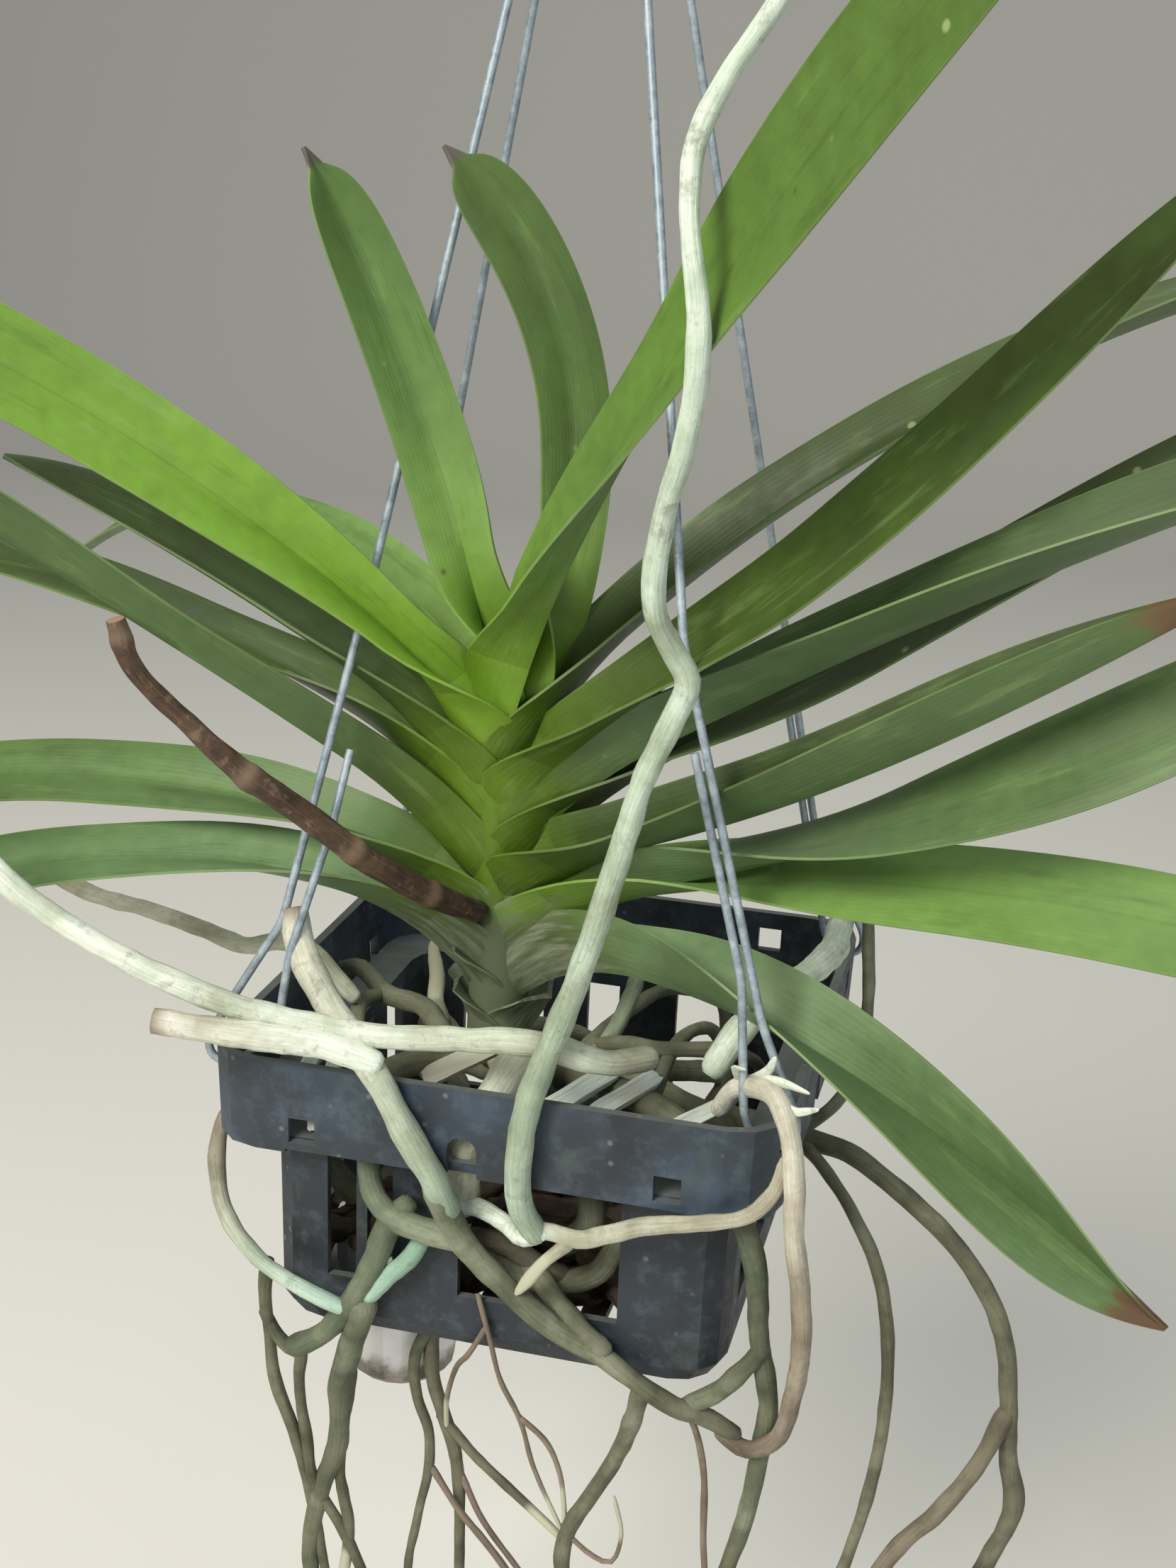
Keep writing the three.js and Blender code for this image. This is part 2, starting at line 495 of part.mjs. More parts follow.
// ---- roots ----
// Each root: its route, its thickness where it starts and where it ends.
const ROUTES = {
  front_hanging: [1.95, 3.5, [
    [66, -102, 268], [61, -103, 253], [53, -105, 240], [47, -107, 226], [47, -109, 213],
    [50, -109, 192], [49, -107, 172], [43, -100, 150], [41, -94, 130], [44, -89, 121], [48, -88, 113],
    [45, -87, 104], [38, -84, 87], [33, -82, 68], [27, -79.5, 46], [21, -79, 26], [16, -79, 12],
    [12, -79, -4], [11, -78.6, -18], [11, -76, -28], [14, -70, -39]]],
  left_reaching: [3, 3.3, [
    [-168, -99, 86], [-148, -97, 71], [-128, -95, 57], [-109, -92, 41], [-84, -88, 27], [-65, -84, 19],
    [-46, -79, 14], [-28, -76, 12], [-5, -75, 14], [14, -74, 15], [29, -66, 9], [38, -57, 8]]],
  left_cut: [3.7, 3.4, [[-78, -90, 14], [-61, -86, 12], [-49, -83, 11], [-40, -81, 10], [-26, -79, 6]]],
  rim_crossing: [3.8, 3.6, [
    [-55, -60, 34], [-52, -63, 26], [-46, -68, 20], [-38, -74, 14], [-31, -78, 8], [-25, -79, 1],
    [-19, -79, -10], [-12, -78, -22], [-8, -74, -34]]],
  left_loop: [2.3, 2.2, [
    [-66, -46, -19], [-75, -50, -25.5], [-79, -53, -33], [-79, -56, -42], [-76, -60, -50.5],
    [-70, -64, -57], [-61, -68, -62], [-50, -70, -66], [-42, -68.5, -70], [-36, -65, -74]]],
  corner: [2.7, 2.3, [
    [56, -56, -4], [61, -61, 5], [67, -67, 9], [73, -75, 10], [77, -79.5, 4], [79, -80, -8],
    [79.5, -76, -24], [81.3, -70, -42], [82.3, -66, -60], [80.5, -61, -80], [77, -58, -94],
    [69, -56, -100], [62, -56, -96]]],
  right_arch: [2.8, 2.5, [
    [45, -13, -26], [60, -8, -30], [74, -8, -33], [86, -11, -34], [99, -15, -40], [112, -19, -48],
    [123, -20, -60], [131, -20, -76], [134, -18, -94], [136, -15, -116], [139, -12, -134],
    [134, -10, -153], [127, -8, -176], [124, -7, -202], [127, -8, -222]]],
  right_branch: [2.6, 2.1, [
    [134, -18, -100], [128, -23, -115], [119, -30, -127], [109, -33, -139], [102, -34, -156],
    [97, -33, -180], [98, -32, -200]]],
  right_thin: [1.85, 1.75, [
    [66, -4, -32], [78, -15, -36], [90, -25, -46], [98, -30, -60], [102, -30, -86], [101, -28, -118],
    [95, -26, -153], [89, -24, -176], [86, -22, -210], [90, -20, -232]]],
  right_upper: [1.8, 1.8, [
    [76.5, 60, 26], [79.4, 48, 10], [82.4, 36, -10], [83, 22, -22], [78, 4, -28], [70, -6, -32]]],
  drop_right: [3, 2.1, [
    [60, -62, -20], [69, -66.5, -38], [71, -62, -62], [74, -56, -86], [72, -50, -106], [69, -47, -128],
    [64, -45, -150], [58, -43, -176], [56, -42, -200]]],
  web_right: [2.6, 2.5, [[72, -62, -66], [66, -62, -75], [60, -60.5, -82.5], [53, -60, -87.5]]],
  front_green: [3.2, 3.2, [
    [-35, -60, -27], [-31, -66, -37], [-25, -69, -41], [-16, -70.5, -43], [-5, -70, -44]]],
  front_main: [3.7, 2.4, [
    [-11, -77, -26], [-8, -74, -36], [-3, -70.5, -47], [6, -69, -56], [18, -68, -66], [30, -65.5, -73],
    [40, -65.5, -79], [50, -63.5, -85.8], [58, -59, -90.5], [66, -55.5, -96.5]]],
  front_white: [2.6, 2.4, [
    [-12, -64, -38], [-4, -64, -37.5], [4, -65, -40], [10, -69, -41], [16, -71, -37]]],
  window_high: [2.9, 2.9, [[8, -56, -55], [15, -60, -60], [24, -65, -66], [32, -65.5, -72]]],
  window_brown: [3, 2.8, [
    [-14, -66, -47], [-6, -62, -48], [3, -59, -50], [11, -56, -56], [18, -52, -61]]],
  window_low: [3.2, 3, [
    [-10, -69, -42], [-2, -64, -52], [4, -58, -58], [14, -54, -62], [26, -52, -58], [32, -50, -48]]],
  diagonal: [3.3, 3, [
    [-21, -67, -38], [-26, -68, -45], [-30, -67.5, -56], [-36, -66.5, -69], [-43, -65, -80],
    [-50, -62.5, -87], [-56, -60, -91.5]]],
  teal: [2.5, 2.4, [[-17, -66, -47], [-20, -67, -53], [-26, -67, -60], [-32, -66, -68]]],
  left_thick: [3.6, 1.9, [
    [-33, -66.5, -70], [-37, -63.5, -83], [-43, -57, -102], [-45.5, -52, -125], [-51, -50, -142],
    [-55, -49, -165], [-53, -48, -188], [-57, -47, -208]]],
  left_outer: [1.9, 1.4, [
    [-60, -67, -62], [-62, -64, -73], [-63, -59, -88], [-63, -55, -106], [-58, -53, -124],
    [-55, -50, -142], [-51, -48, -170], [-47, -47, -192], [-44, -46, -212]]],
  left_inner: [1.8, 1.35, [
    [-53, -60, -90], [-55, -57, -106], [-54, -54, -124], [-53, -51, -140], [-46, -48, -156],
    [-40, -46, -172], [-36, -44, -190], [-36, -43, -206]]],
  left_cross: [1.9, 1.6, [
    [-40, -57, -98], [-45, -51, -124], [-46, -49, -138], [-44, -47, -156], [-46, -46, -176]]],
  left_bridge: [1.8, 1.7, [[-64, -60, -82], [-60, -59, -90], [-55, -59.5, -93], [-49, -60, -87]]],
  middle_left: [2.3, 1.3, [
    [-16, -44, -76], [-21, -44, -88], [-21, -44, -102], [-19, -42, -114], [-15, -40, -130],
    [-14, -38, -146], [-14, -36, -172], [-13, -35, -196]]],
  middle_back: [1.9, 1, [
    [-20, -45, -84], [-25, -47, -96], [-25, -45, -110], [-22, -43, -122], [-22, -42, -134],
    [-25, -42, -152], [-28, -41, -172], [-26, -40, -190]]],
  middle_right: [1.6, 1.1, [
    [-19, -42, -117], [-10, -42, -127], [1, -45, -133.3], [13, -47, -141], [20, -48, -146]]],
  branch_down: [2.5, 2, [
    [42, -65, -82], [39.4, -60.5, -94.6], [34.4, -55, -110.6], [27, -51, -127.5], [20.8, -49, -141],
    [19, -48, -152], [21, -48, -168], [20, -47, -186]]],
  thread_1: [0.8, 0.65, [
    [-3, -62.5, -64], [1, -64, -76], [3, -60, -90], [7.5, -54, -106], [10.5, -51, -121], [19, -49, -142]]],
  thread_2: [0.8, 0.65, [[7, -54.5, -104], [14, -52, -112], [18, -50, -123], [20, -49, -141]]],
  thread_3: [0.85, 0.7, [
    [0, -64, -72], [-6, -60, -84], [-12, -51, -95], [-16, -46, -109], [-17, -42, -122]]],
  thread_4: [1.1, 1, [
    [-21, -42, -135], [-13, -42, -147], [-4, -42, -157], [4, -42, -168], [8, -41, -184]]],
  thread_5: [0.95, 0.85, [
    [-14, -39, -136], [-7, -38, -152], [3, -38, -165], [10, -38, -174], [14, -38, -190]]],
  thread_6: [0.75, 0.6, [
    [20, -49, -142], [28, -49, -148], [33, -49, -149], [36, -50, -139], [34, -52, -126]]],
  thread_7: [1, 0.9, [
    [50, -59, -87], [54, -52, -98], [57, -47, -116], [58, -46, -138], [60, -45, -162],
    [60, -44, -184]]],
  flat_long: [2.6, 2, [
    [12, -71, -38], [17, -71, -37], [25, -72.5, -37], [33, -75, -33], [43, -76.5, -28], [56, -78, -24],
    [68, -78, -20], [74, -77, -13], [76.5, -77, -4]]],
  flat_branch: [1.8, 1.6, [[24, -72, -38], [17, -72, -45], [11, -71.5, -54]]],
  rear_reaching: [2.5, 2.5, [
    [-192, 40, 2], [-175, 34, -2], [-157, 28, -5], [-136, 20, -4], [-113, 10, -3.5], [-95, 2, -3.5],
    [-82, -3, 1.5], [-71, -8, 2], [-56, -13, -8]]],
  right_cut: [3.8, 3.6, [
    [75, 12, 22], [75, 0, 20], [73, -12, 20], [69, -26, 20], [63, -38, 18], [58, -46, 13],
    [53, -51, 4]]],
};

// Thick old roots that leave the foot of the stem and fill the basket, and stubs that stand up from them.
const CROWN = [-12, -18, -20];
Object.assign(ROUTES, {
  inner_front: [4.4, 3.4, [CROWN, [2, -34, -16], [16, -46, -26], [24, -52, -42], [16, -48, -54]]],
  inner_slab: [5.2, 4.6, [
    [-8, -26, -14], [2, -40, -5], [3, -50, -2], [-1, -60, -8], [-6, -65, -20], [-9, -60, -40]]],
  inner_left: [4.2, 3.2, [CROWN, [-30, -24, -18], [-46, -36, -24], [-52, -46, -38], [-44, -44, -52]]],
  inner_left_back: [4, 3, [CROWN, [-28, -2, -22], [-44, 22, -28], [-50, 38, -40], [-38, 34, -55]]],
  inner_back: [4, 3, [CROWN, [-12, 6, -20], [-4, 30, -30], [8, 44, -44], [0, 36, -55]]],
  inner_right: [4.4, 3.2, [
    CROWN, [10, -14, -16], [32, -18, -20], [50, -14, -30], [52, 2, -44], [40, 12, -54]]],
  inner_right_back: [3.8, 3, [CROWN, [8, 2, -26], [26, 24, -34], [42, 40, -42], [36, 34, -54]]],
  inner_right_front: [3.8, 3.2, [
    CROWN, [8, -28, -16], [30, -43, -10], [47, -48, -16], [52, -48, -34], [42, -44, -53]]],
  inner_net: [2.2, 1.8, [
    [12, -14, -12], [24, -26, -4], [38, -34, 0], [50, -30, 0], [58, -20, -6], [60, -6, -18]]],
  inner_net_cross: [1.9, 1.7, [
    [34, -42, -20], [37, -38, -8], [40, -31, 1], [46, -14, -2], [50, -10, -14], [50, -13, -29]]],
  inner_rear_net: [2, 1.8, [[10, -10, -14], [20, 8, -8], [26, 28, -10], [38, 44, -18], [42, 42, -40]]],
  stub_flat: [3.2, 2.4, [[-26, -16, -19], [-39, -2, -13], [-52, 3, -13], [-62, 8, -8], [-68, 8, -9]]],
  stub_upright: [2.7, 2.1, [[-32, -5, -17], [-37, 2, -12], [-38, 6, -6], [-40, 9, -1]]],
  stub_round: [3, 2.6, [[-18, -12, -17], [-23, -4, -9], [-27, 0, -4], [-31, 0, -1]]],
  stub_green: [2.6, 2.2, [[8, -26, -18], [18, -18, -8], [21, -8, -1], [21, 4, 3]]],
  stub_left: [2.8, 2.2, [[-44, -34, -24], [-52, -22, -16], [-56, -8, -12], [-54, 2, -13]]],
});

// Roots that have grown onto each other, in the order in which they are laid.
const SYSTEMS = {
  roots_inner: Object.keys(ROUTES).filter((name) => /^(inner|stub)_/.test(name)),
  root_front_pale: ["front_hanging", "left_reaching", "left_cut", "rim_crossing"],
  root_left_loop: ["left_loop"],
  root_corner: ["corner"],
  root_front_net: ["front_green", "front_main", "window_high", "window_brown", "window_low", "drop_right",
    "web_right", "branch_down", "thread_7"],
  root_front_white: ["front_white"],
  root_front_flat: ["flat_long", "flat_branch"],
  root_left_hanging: ["diagonal", "teal", "left_thick", "left_outer", "left_inner", "left_cross",
    "left_bridge"],
  root_middle_hanging: ["middle_left", "middle_back", "middle_right", "thread_1", "thread_2", "thread_3",
    "thread_4", "thread_5", "thread_6"],
  root_right_hanging: ["right_arch", "right_branch", "right_thin", "right_upper"],
  root_right_cut: ["right_cut"],
  root_rear_reaching: ["rear_reaching"],
};

function rootSolid(name, grow = 0) {
  return join(SYSTEMS[name].map((route) => {
    const [thick, thin, points] = ROUTES[route];
    const slim = Math.max(thick, thin) < 2.3 || /inner|hanging|net/.test(name);
    const flat = route.startsWith("flat") ? 0.55 : 1;
    return tube(points, thick, thin, { sides: slim ? 5 : 6, step: slim ? 16 : 13, grow, flat });
  }));
}

// ---- bark bed and pale sticks ----
function chunk(centre, size, turn, seed) {
  const jitter = (k) => 1 + 0.12 * Math.sin(seed * 12.9 + k * 7.7);
  const geometry = new THREE.BoxGeometry(...size);
  const position = geometry.attributes.position;
  const corner = vec(0, 0, 0);
  for (let i = 0; i < position.count; i += 1) {
    corner.fromBufferAttribute(position, i);
    const k = (corner.x > 0 ? 1 : 0) + (corner.y > 0 ? 2 : 0) + (corner.z > 0 ? 4 : 0);
    corner.multiplyScalar(jitter(k));
    position.setXYZ(i, corner.x, corner.y, corner.z);
  }
  geometry.rotateX(turn[0]).rotateY(turn[1]).rotateZ(turn[2]);
  geometry.translate(...centre);
  return toSolid(geometry);
}

const BARK_ROWS = [-28, 4, 34];
const BARK_BED = 11.4 - DEPTH;    // middle of the bed of bark over the floor

function barkSolid() {
  const chunks = [];
  BARK_ROWS.forEach((y, row) => BARK_ROWS.forEach((x, column) => {
    const seed = 3 * row + column + 1;
    const wave = (k) => Math.sin(seed * 2.3 + k * 1.7);
    const centre = [x + 2 * wave(0), y + 2 * wave(1), BARK_BED + 1.5 * wave(2)];
    const turn = [0.12 * wave(4), 0.12 * wave(5), 0.5 * wave(6)];
    chunks.push(chunk(centre, [36, 33, 14 + 2 * wave(3)], turn, seed));
  }));
  return join([...chunks, cupFilling()]);
}

// Bark is heaped over the lip of the cup, and fills it down to its foot.
function cupFilling() {
  const heap = rod(CUP.throat + 6, 12.5, 20).translate(CUP.x, CUP.y, CUP.top - 1.8);
  const foot = CUP.bottom + CUP.wall + 3 + GAP;
  const height = CUP.top - foot;
  const plug = new THREE.CylinderGeometry(CUP.throat - 1, CUP.foot - CUP.wall - 2 * GAP, height, 20);
  plug.rotateX(Math.PI / 2).translate(CUP.x, CUP.y, foot + height / 2);
  return toSolid(heap).add(toSolid(plug));
}

// from, to, width and thickness
const STICKS = [
  [[11, -67, -9], [26, -39, -5], 5, 3],
  [[24, -61, -9], [37, -40, -5], 4.5, 3],
  [[-57, -66, -21], [-50, -49, -1], 4, 2.6],
  [[-20, -60, -6], [-1, -41, 1], 5, 4],
  [[36, -63, -15], [56, -38, -10], 4, 3],
  [[-47, -68, -21], [-45, -49, 0], 3.6, 2.4],
];

function stickSolid([from, to, width, thick], grow = 0) {
  const low = vec(...from);
  const high = vec(...to);
  const sides = [width, thick, low.distanceTo(high)].map((side) => side + 2 * grow);
  const geometry = new THREE.BoxGeometry(...sides);
  geometry.applyQuaternion(new THREE.Quaternion().setFromUnitVectors(UP, high.clone().sub(low).normalize()));
  geometry.translate(...low.add(high).divideScalar(2).toArray());
  return toSolid(geometry);
}

// ---- the model ----
const DROP = new THREE.Group();
DROP.position.set(0, 0, -BEARING);
const PAINT = {
  basket: new THREE.MeshStandardMaterial({ color: 0x3a4147, roughness: 0.72, metalness: 0 }),
  cup: new THREE.MeshStandardMaterial({ color: 0xe4e6df, roughness: 0.5, metalness: 0 }),
  wire: new THREE.MeshStandardMaterial({ color: 0x8e99a6, roughness: 0.45, metalness: 0.8 }),
  stem: new THREE.MeshStandardMaterial({ color: 0x6c7f45, roughness: 0.7, metalness: 0 }),
  leaf: new THREE.MeshStandardMaterial({ color: 0x5f8a35, roughness: 0.5, metalness: 0 }),
  root: new THREE.MeshStandardMaterial({ color: 0xb9bfa0, roughness: 0.75, metalness: 0 }),
  spike: new THREE.MeshStandardMaterial({ color: 0x5f4032, roughness: 0.8, metalness: 0 }),
  stick: new THREE.MeshStandardMaterial({ color: 0xcfe0da, roughness: 0.8, metalness: 0 }),
  bark: new THREE.MeshStandardMaterial({ color: 0x3c3229, roughness: 0.95, metalness: 0 }),
};

function place(name, solid, paint) {
  const mesh = new THREE.Mesh(toGeometry(solid), PAINT[paint].clone());
  mesh.name = name;
  DROP.add(mesh);
}

place("basket", basketSolid(), "basket");
place("cup", cupSolid(), "cup");
place("hanger_collar", collarSolid(), "wire");
place("hanger_hook", hookSolid(), "wire");
for (const [name, wire] of Object.entries(WIRES)) place(`hanger_wire_${name}`, wireSolid(wire), "wire");
place("stem", stemSolid(), "stem");
for (const [name, leaf] of Object.entries(LEAVES)) {
  const beside = (leaf.touches ?? []).map((other) => bladeSolid(LEAVES[other], GAP));
  place(`leaf_${name}`, clearOf(bladeSolid(leaf), [stemSolid(GAP), ...beside]), "leaf");
}
place("spike", spikeSolid().subtract(stemSolid(GAP)), "spike");

// What the roots have grown round keeps its shape; each root system is cut clear of all before it.
const standing = [
  basketSolid(GAP), cupSolid(GAP), stemSolid(GAP), spikeSolid(GAP), bladeSolid(LEAVES.right_10, GAP),
  ...Object.values(WIRES).map((wire) => wireSolid(wire, GAP)),
  ...STICKS.map((stick) => stickSolid(stick, GAP)),
];
STICKS.forEach((stick, i) => {
  place(`stick_${i + 1}`, clearOf(stickSolid(stick), [basketSolid(GAP)]), "stick");
});
for (const name of Object.keys(SYSTEMS)) {
  place(name, clearOf(rootSolid(name), standing), "root");
  standing.push(rootSolid(name, GAP));
}
place("bark", clearOf(barkSolid(), standing), "bark");

const part = new THREE.Group();
part.add(DROP);
export default part;
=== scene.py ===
import json
import math
from collections import namedtuple

import bpy
import numpy as np
from mathutils import Matrix, Vector, noise


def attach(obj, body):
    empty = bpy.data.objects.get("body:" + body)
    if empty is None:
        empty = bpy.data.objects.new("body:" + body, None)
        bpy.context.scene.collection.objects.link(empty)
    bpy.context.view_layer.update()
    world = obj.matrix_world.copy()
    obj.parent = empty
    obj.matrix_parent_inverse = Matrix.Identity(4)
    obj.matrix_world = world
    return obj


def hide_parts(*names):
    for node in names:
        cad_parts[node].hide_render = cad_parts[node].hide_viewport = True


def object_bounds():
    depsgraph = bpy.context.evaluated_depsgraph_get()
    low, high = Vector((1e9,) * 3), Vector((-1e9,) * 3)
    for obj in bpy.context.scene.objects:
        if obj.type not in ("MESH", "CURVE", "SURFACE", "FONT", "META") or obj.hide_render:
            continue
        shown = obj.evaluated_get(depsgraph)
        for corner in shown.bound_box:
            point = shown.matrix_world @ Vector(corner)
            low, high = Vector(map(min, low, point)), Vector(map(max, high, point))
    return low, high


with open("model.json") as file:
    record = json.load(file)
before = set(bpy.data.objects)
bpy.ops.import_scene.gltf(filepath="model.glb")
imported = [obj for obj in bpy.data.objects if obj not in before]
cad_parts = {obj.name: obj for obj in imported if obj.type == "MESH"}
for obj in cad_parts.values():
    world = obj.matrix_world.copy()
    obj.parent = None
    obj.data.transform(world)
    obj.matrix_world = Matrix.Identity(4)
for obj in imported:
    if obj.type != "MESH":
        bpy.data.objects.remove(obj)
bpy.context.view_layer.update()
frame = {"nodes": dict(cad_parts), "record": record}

BEARING = 398.4                 # the hook bears on its rail this far above the rim
SKIRT = 24                      # the basket's skirt comes down this far from the rim
DEPTH = 81.5                    # of the basket
BARK_LOW = 6.5 - DEPTH          # middle of the lowest layer of bark
STEM_LOW = np.array((-12.0, -20.0, -6.0))        # the ends of the stem's middle line
STEM_HIGH = np.array((-12.0, -30.0, 108.0))
SHEATH = 24                     # length of each leaf base that clasps the stem
OLD_SHEATH = 19                 # length of the bases of leaves that have dropped
CLASP = 48                      # length over which a leaf base widens and sweeps up from the stem
SWEEP = 13                      # it starts this far below the leaf's height on the stem
FLARE = 0.5                     # how much wider it is where it starts, as a share of the leaf's width
FOLD_AT_BASE = 62               # degrees that each half of it is folded up there
CUP = dict(x=-35, y=-29, top=-64)       # middle and lip


# ---- numbers ----
def ease(x):
    x = np.clip(x, 0, 1)
    return x * x * (3 - 2 * x)


def lerp(a, b, t):
    return a + (b - a) * t


def unit(v):
    return v / np.maximum(np.linalg.norm(v, axis=-1, keepdims=True), 1e-9)


def in_frame(points):
    return (np.asarray(points, float) - (0, 0, BEARING)) * 0.001


def wander(x, seed, size):
    """Smooth noise from -1 to 1 along a line, one value for each x."""
    return np.array([noise.noise(Vector((float(v) / size, seed * 7.31, 3.7))) for v in x])


# ---- pieces ----
def add_piece(name, points, faces, material, stands_for, marks=None):
    """A mesh piece that stands for CAD nodes. Marks are values on its points for the material to read."""
    mesh = bpy.data.meshes.new(name)
    mesh.from_pydata(in_frame(points).tolist(), [], faces)
    for mark, values in (marks or {}).items():
        values = np.asarray(values, float)
        kind, field = ("FLOAT_VECTOR", "vector") if values.ndim == 2 else ("FLOAT", "value")
        mesh.attributes.new(mark, kind, "POINT").data.foreach_set(field, values.ravel())
    mesh.validate()
    mesh.shade_smooth()
    mesh.set_sharp_from_angle(angle=math.radians(58))
    mesh.materials.append(material)
    piece = bpy.data.objects.new(name, mesh)
    bpy.context.scene.collection.objects.link(piece)
    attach(piece, "root")
    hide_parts(*stands_for)


class Shell:
    """Points, faces and marks of one piece, gathered from several closed skins."""

    def __init__(self):
        self.points = []
        self.faces = []
        self.marks = {}
        self.count = 0

    def add(self, points, faces, **marks):
        self.faces += [tuple(int(i) + self.count for i in face) for face in faces]
        self.points.append(np.asarray(points, float))
        for mark, values in marks.items():
            values = np.asarray(values, float)
            if values.ndim == 0:
                values = np.full(len(points), float(values))
            self.marks.setdefault(mark, []).append(values)
        self.count += len(points)

    def piece(self, name, material, stands_for, slot):
        marks = {mark: np.concatenate(values) for mark, values in self.marks.items()}
        add_piece(name, np.concatenate(self.points), self.faces, material, stands_for, marks)


def ring_faces(rings, around):
    """Quads between rings of equal count, with one many-sided face over each end."""
    faces = []
    for i in range(rings - 1):
        for k in range(around):
            a = i * around + k
            b = i * around + (k + 1) % around
            faces.append((a, a + around, b + around, b))
    faces.append(tuple(range(around)))
    faces.append(tuple(reversed(range((rings - 1) * around, rings * around))))
    return faces


# ---- the plant ----
# A leaf: its height on the stem, heading, climb where it starts and how far it droops by its end, its flat
# length and width, its roll at both ends, and its look: how young and how lit, set low to paint shade as dark
# olive on the leaves that lie in shade, such as right_3, right_5, left_4 and left_6, and set high to paint
# light on right_9; how blue and cool, which on right_5 also paints a silvery sheen; and how many millimetres
# of the tip are dried. Then how far it swings round, its fold towards the tip, how late it bends, how blunt
# it ends, and the width of the dried nib on a blunt end.
Leaf = namedtuple("Leaf", "at heading rise droop length width roll look swing fold bend tip nib",
                  defaults=(0, 12, 1, 3, 0))
LEAVES = {
    "left_1": Leaf(88, -155, 77.5, 17, 142, 19.2, (130, 51), (0.72, 0.20, 6), swing=3, fold=18, bend=1.1,
                   tip=7, nib=0.34),
    "left_2": Leaf(86, 148, 35, 74, 230, 24, (-2, 26), (0.74, 0.25, 0), swing=2),
    "left_3": Leaf(77, -151, 47, 36, 302, 25.1, (70, 68), (0.96, 0, 0), swing=-1, fold=17),
    "left_4": Leaf(66, -169, 37, 12, 149, 24, (17, 23), (0.08, 0.10, 0), swing=-2, fold=35),
    "left_5": Leaf(58, 175, 30, 32, 220, 23.9, (2, 17), (0.22, 0.05, 0), swing=2),
    "left_6": Leaf(44, -165.5, 34, 5.5, 249, 23.6, (-9, -67), (0.08, 0.10, 0), swing=1.5, fold=22),
    "left_7": Leaf(30, -173, 28, 65, 255, 25.2, (24, 27), (0.36, 0.35, 0), swing=2),
    "left_8": Leaf(16, -163, 30, 79, 250, 25.5, (6, 30), (0.45, 0.60, 0), swing=4),
    "right_1": Leaf(94, -166, 124, 83, 141, 19.6, (64, 66), (0.42, 0.10, 6), tip=7, nib=0.34),
    "right_2": Leaf(84, -48, 56, 23, 300, 27.4, (-44, -114), (0.64, 0.10, 0), swing=3),
    "right_3": Leaf(72, 13.5, 51, 38, 273, 24.4, (-41, 4), (0.08, 0.05, 0), swing=-4, fold=29),
    "right_4": Leaf(62, -18, 36, -15.5, 250, 25.9, (-39, -52), (0.18, 0, 0), bend=0.9),
    "right_5": Leaf(52, -14, 36, 12, 270, 27.5, (14, -47), (0.10, 0.35, 0), fold=45),
    "right_6": Leaf(47.5, 4, 32, -5.5, 245, 25, (-30, -30), (0.0, 0.10, 0)),
    "right_7": Leaf(40, -19.5, 17, -21.5, 212, 26.8, (-52, 3), (0.06, 0.12, 30), fold=67, bend=0.7),
    "right_8": Leaf(32.5, -12.3, 13.5, -29.5, 253, 26.6, (51, -112), (0.18, 0.40, 7), fold=8),
    "right_9": Leaf(23, -9, 33, 44.5, 262, 27.6, (-2, -62), (1.0, 0.30, 0), fold=5, bend=0.6),
    "right_10": Leaf(10.8, -18.9, 67.4, 98.6, 201.4, 31, (56, -105), (0.22, 0.50, 16), swing=-0.3, fold=48.5,
                     bend=0.25, tip=5),
}
OLD_LOOK = (0.1, 0.3, 0)
DROPPED_LEAVES = [
    Leaf(5, 186, 52, 10, 60, 22, (0, 0), OLD_LOOK),
    Leaf(-6, -8, 48, 10, 60, 21, (0, 0), OLD_LOOK),
    Leaf(-8, 176, 56, 10, 60, 22, (0, 0), OLD_LOOK),
]

CROWN = (-12, -18, -20)         # where the inner roots leave the foot of the stem
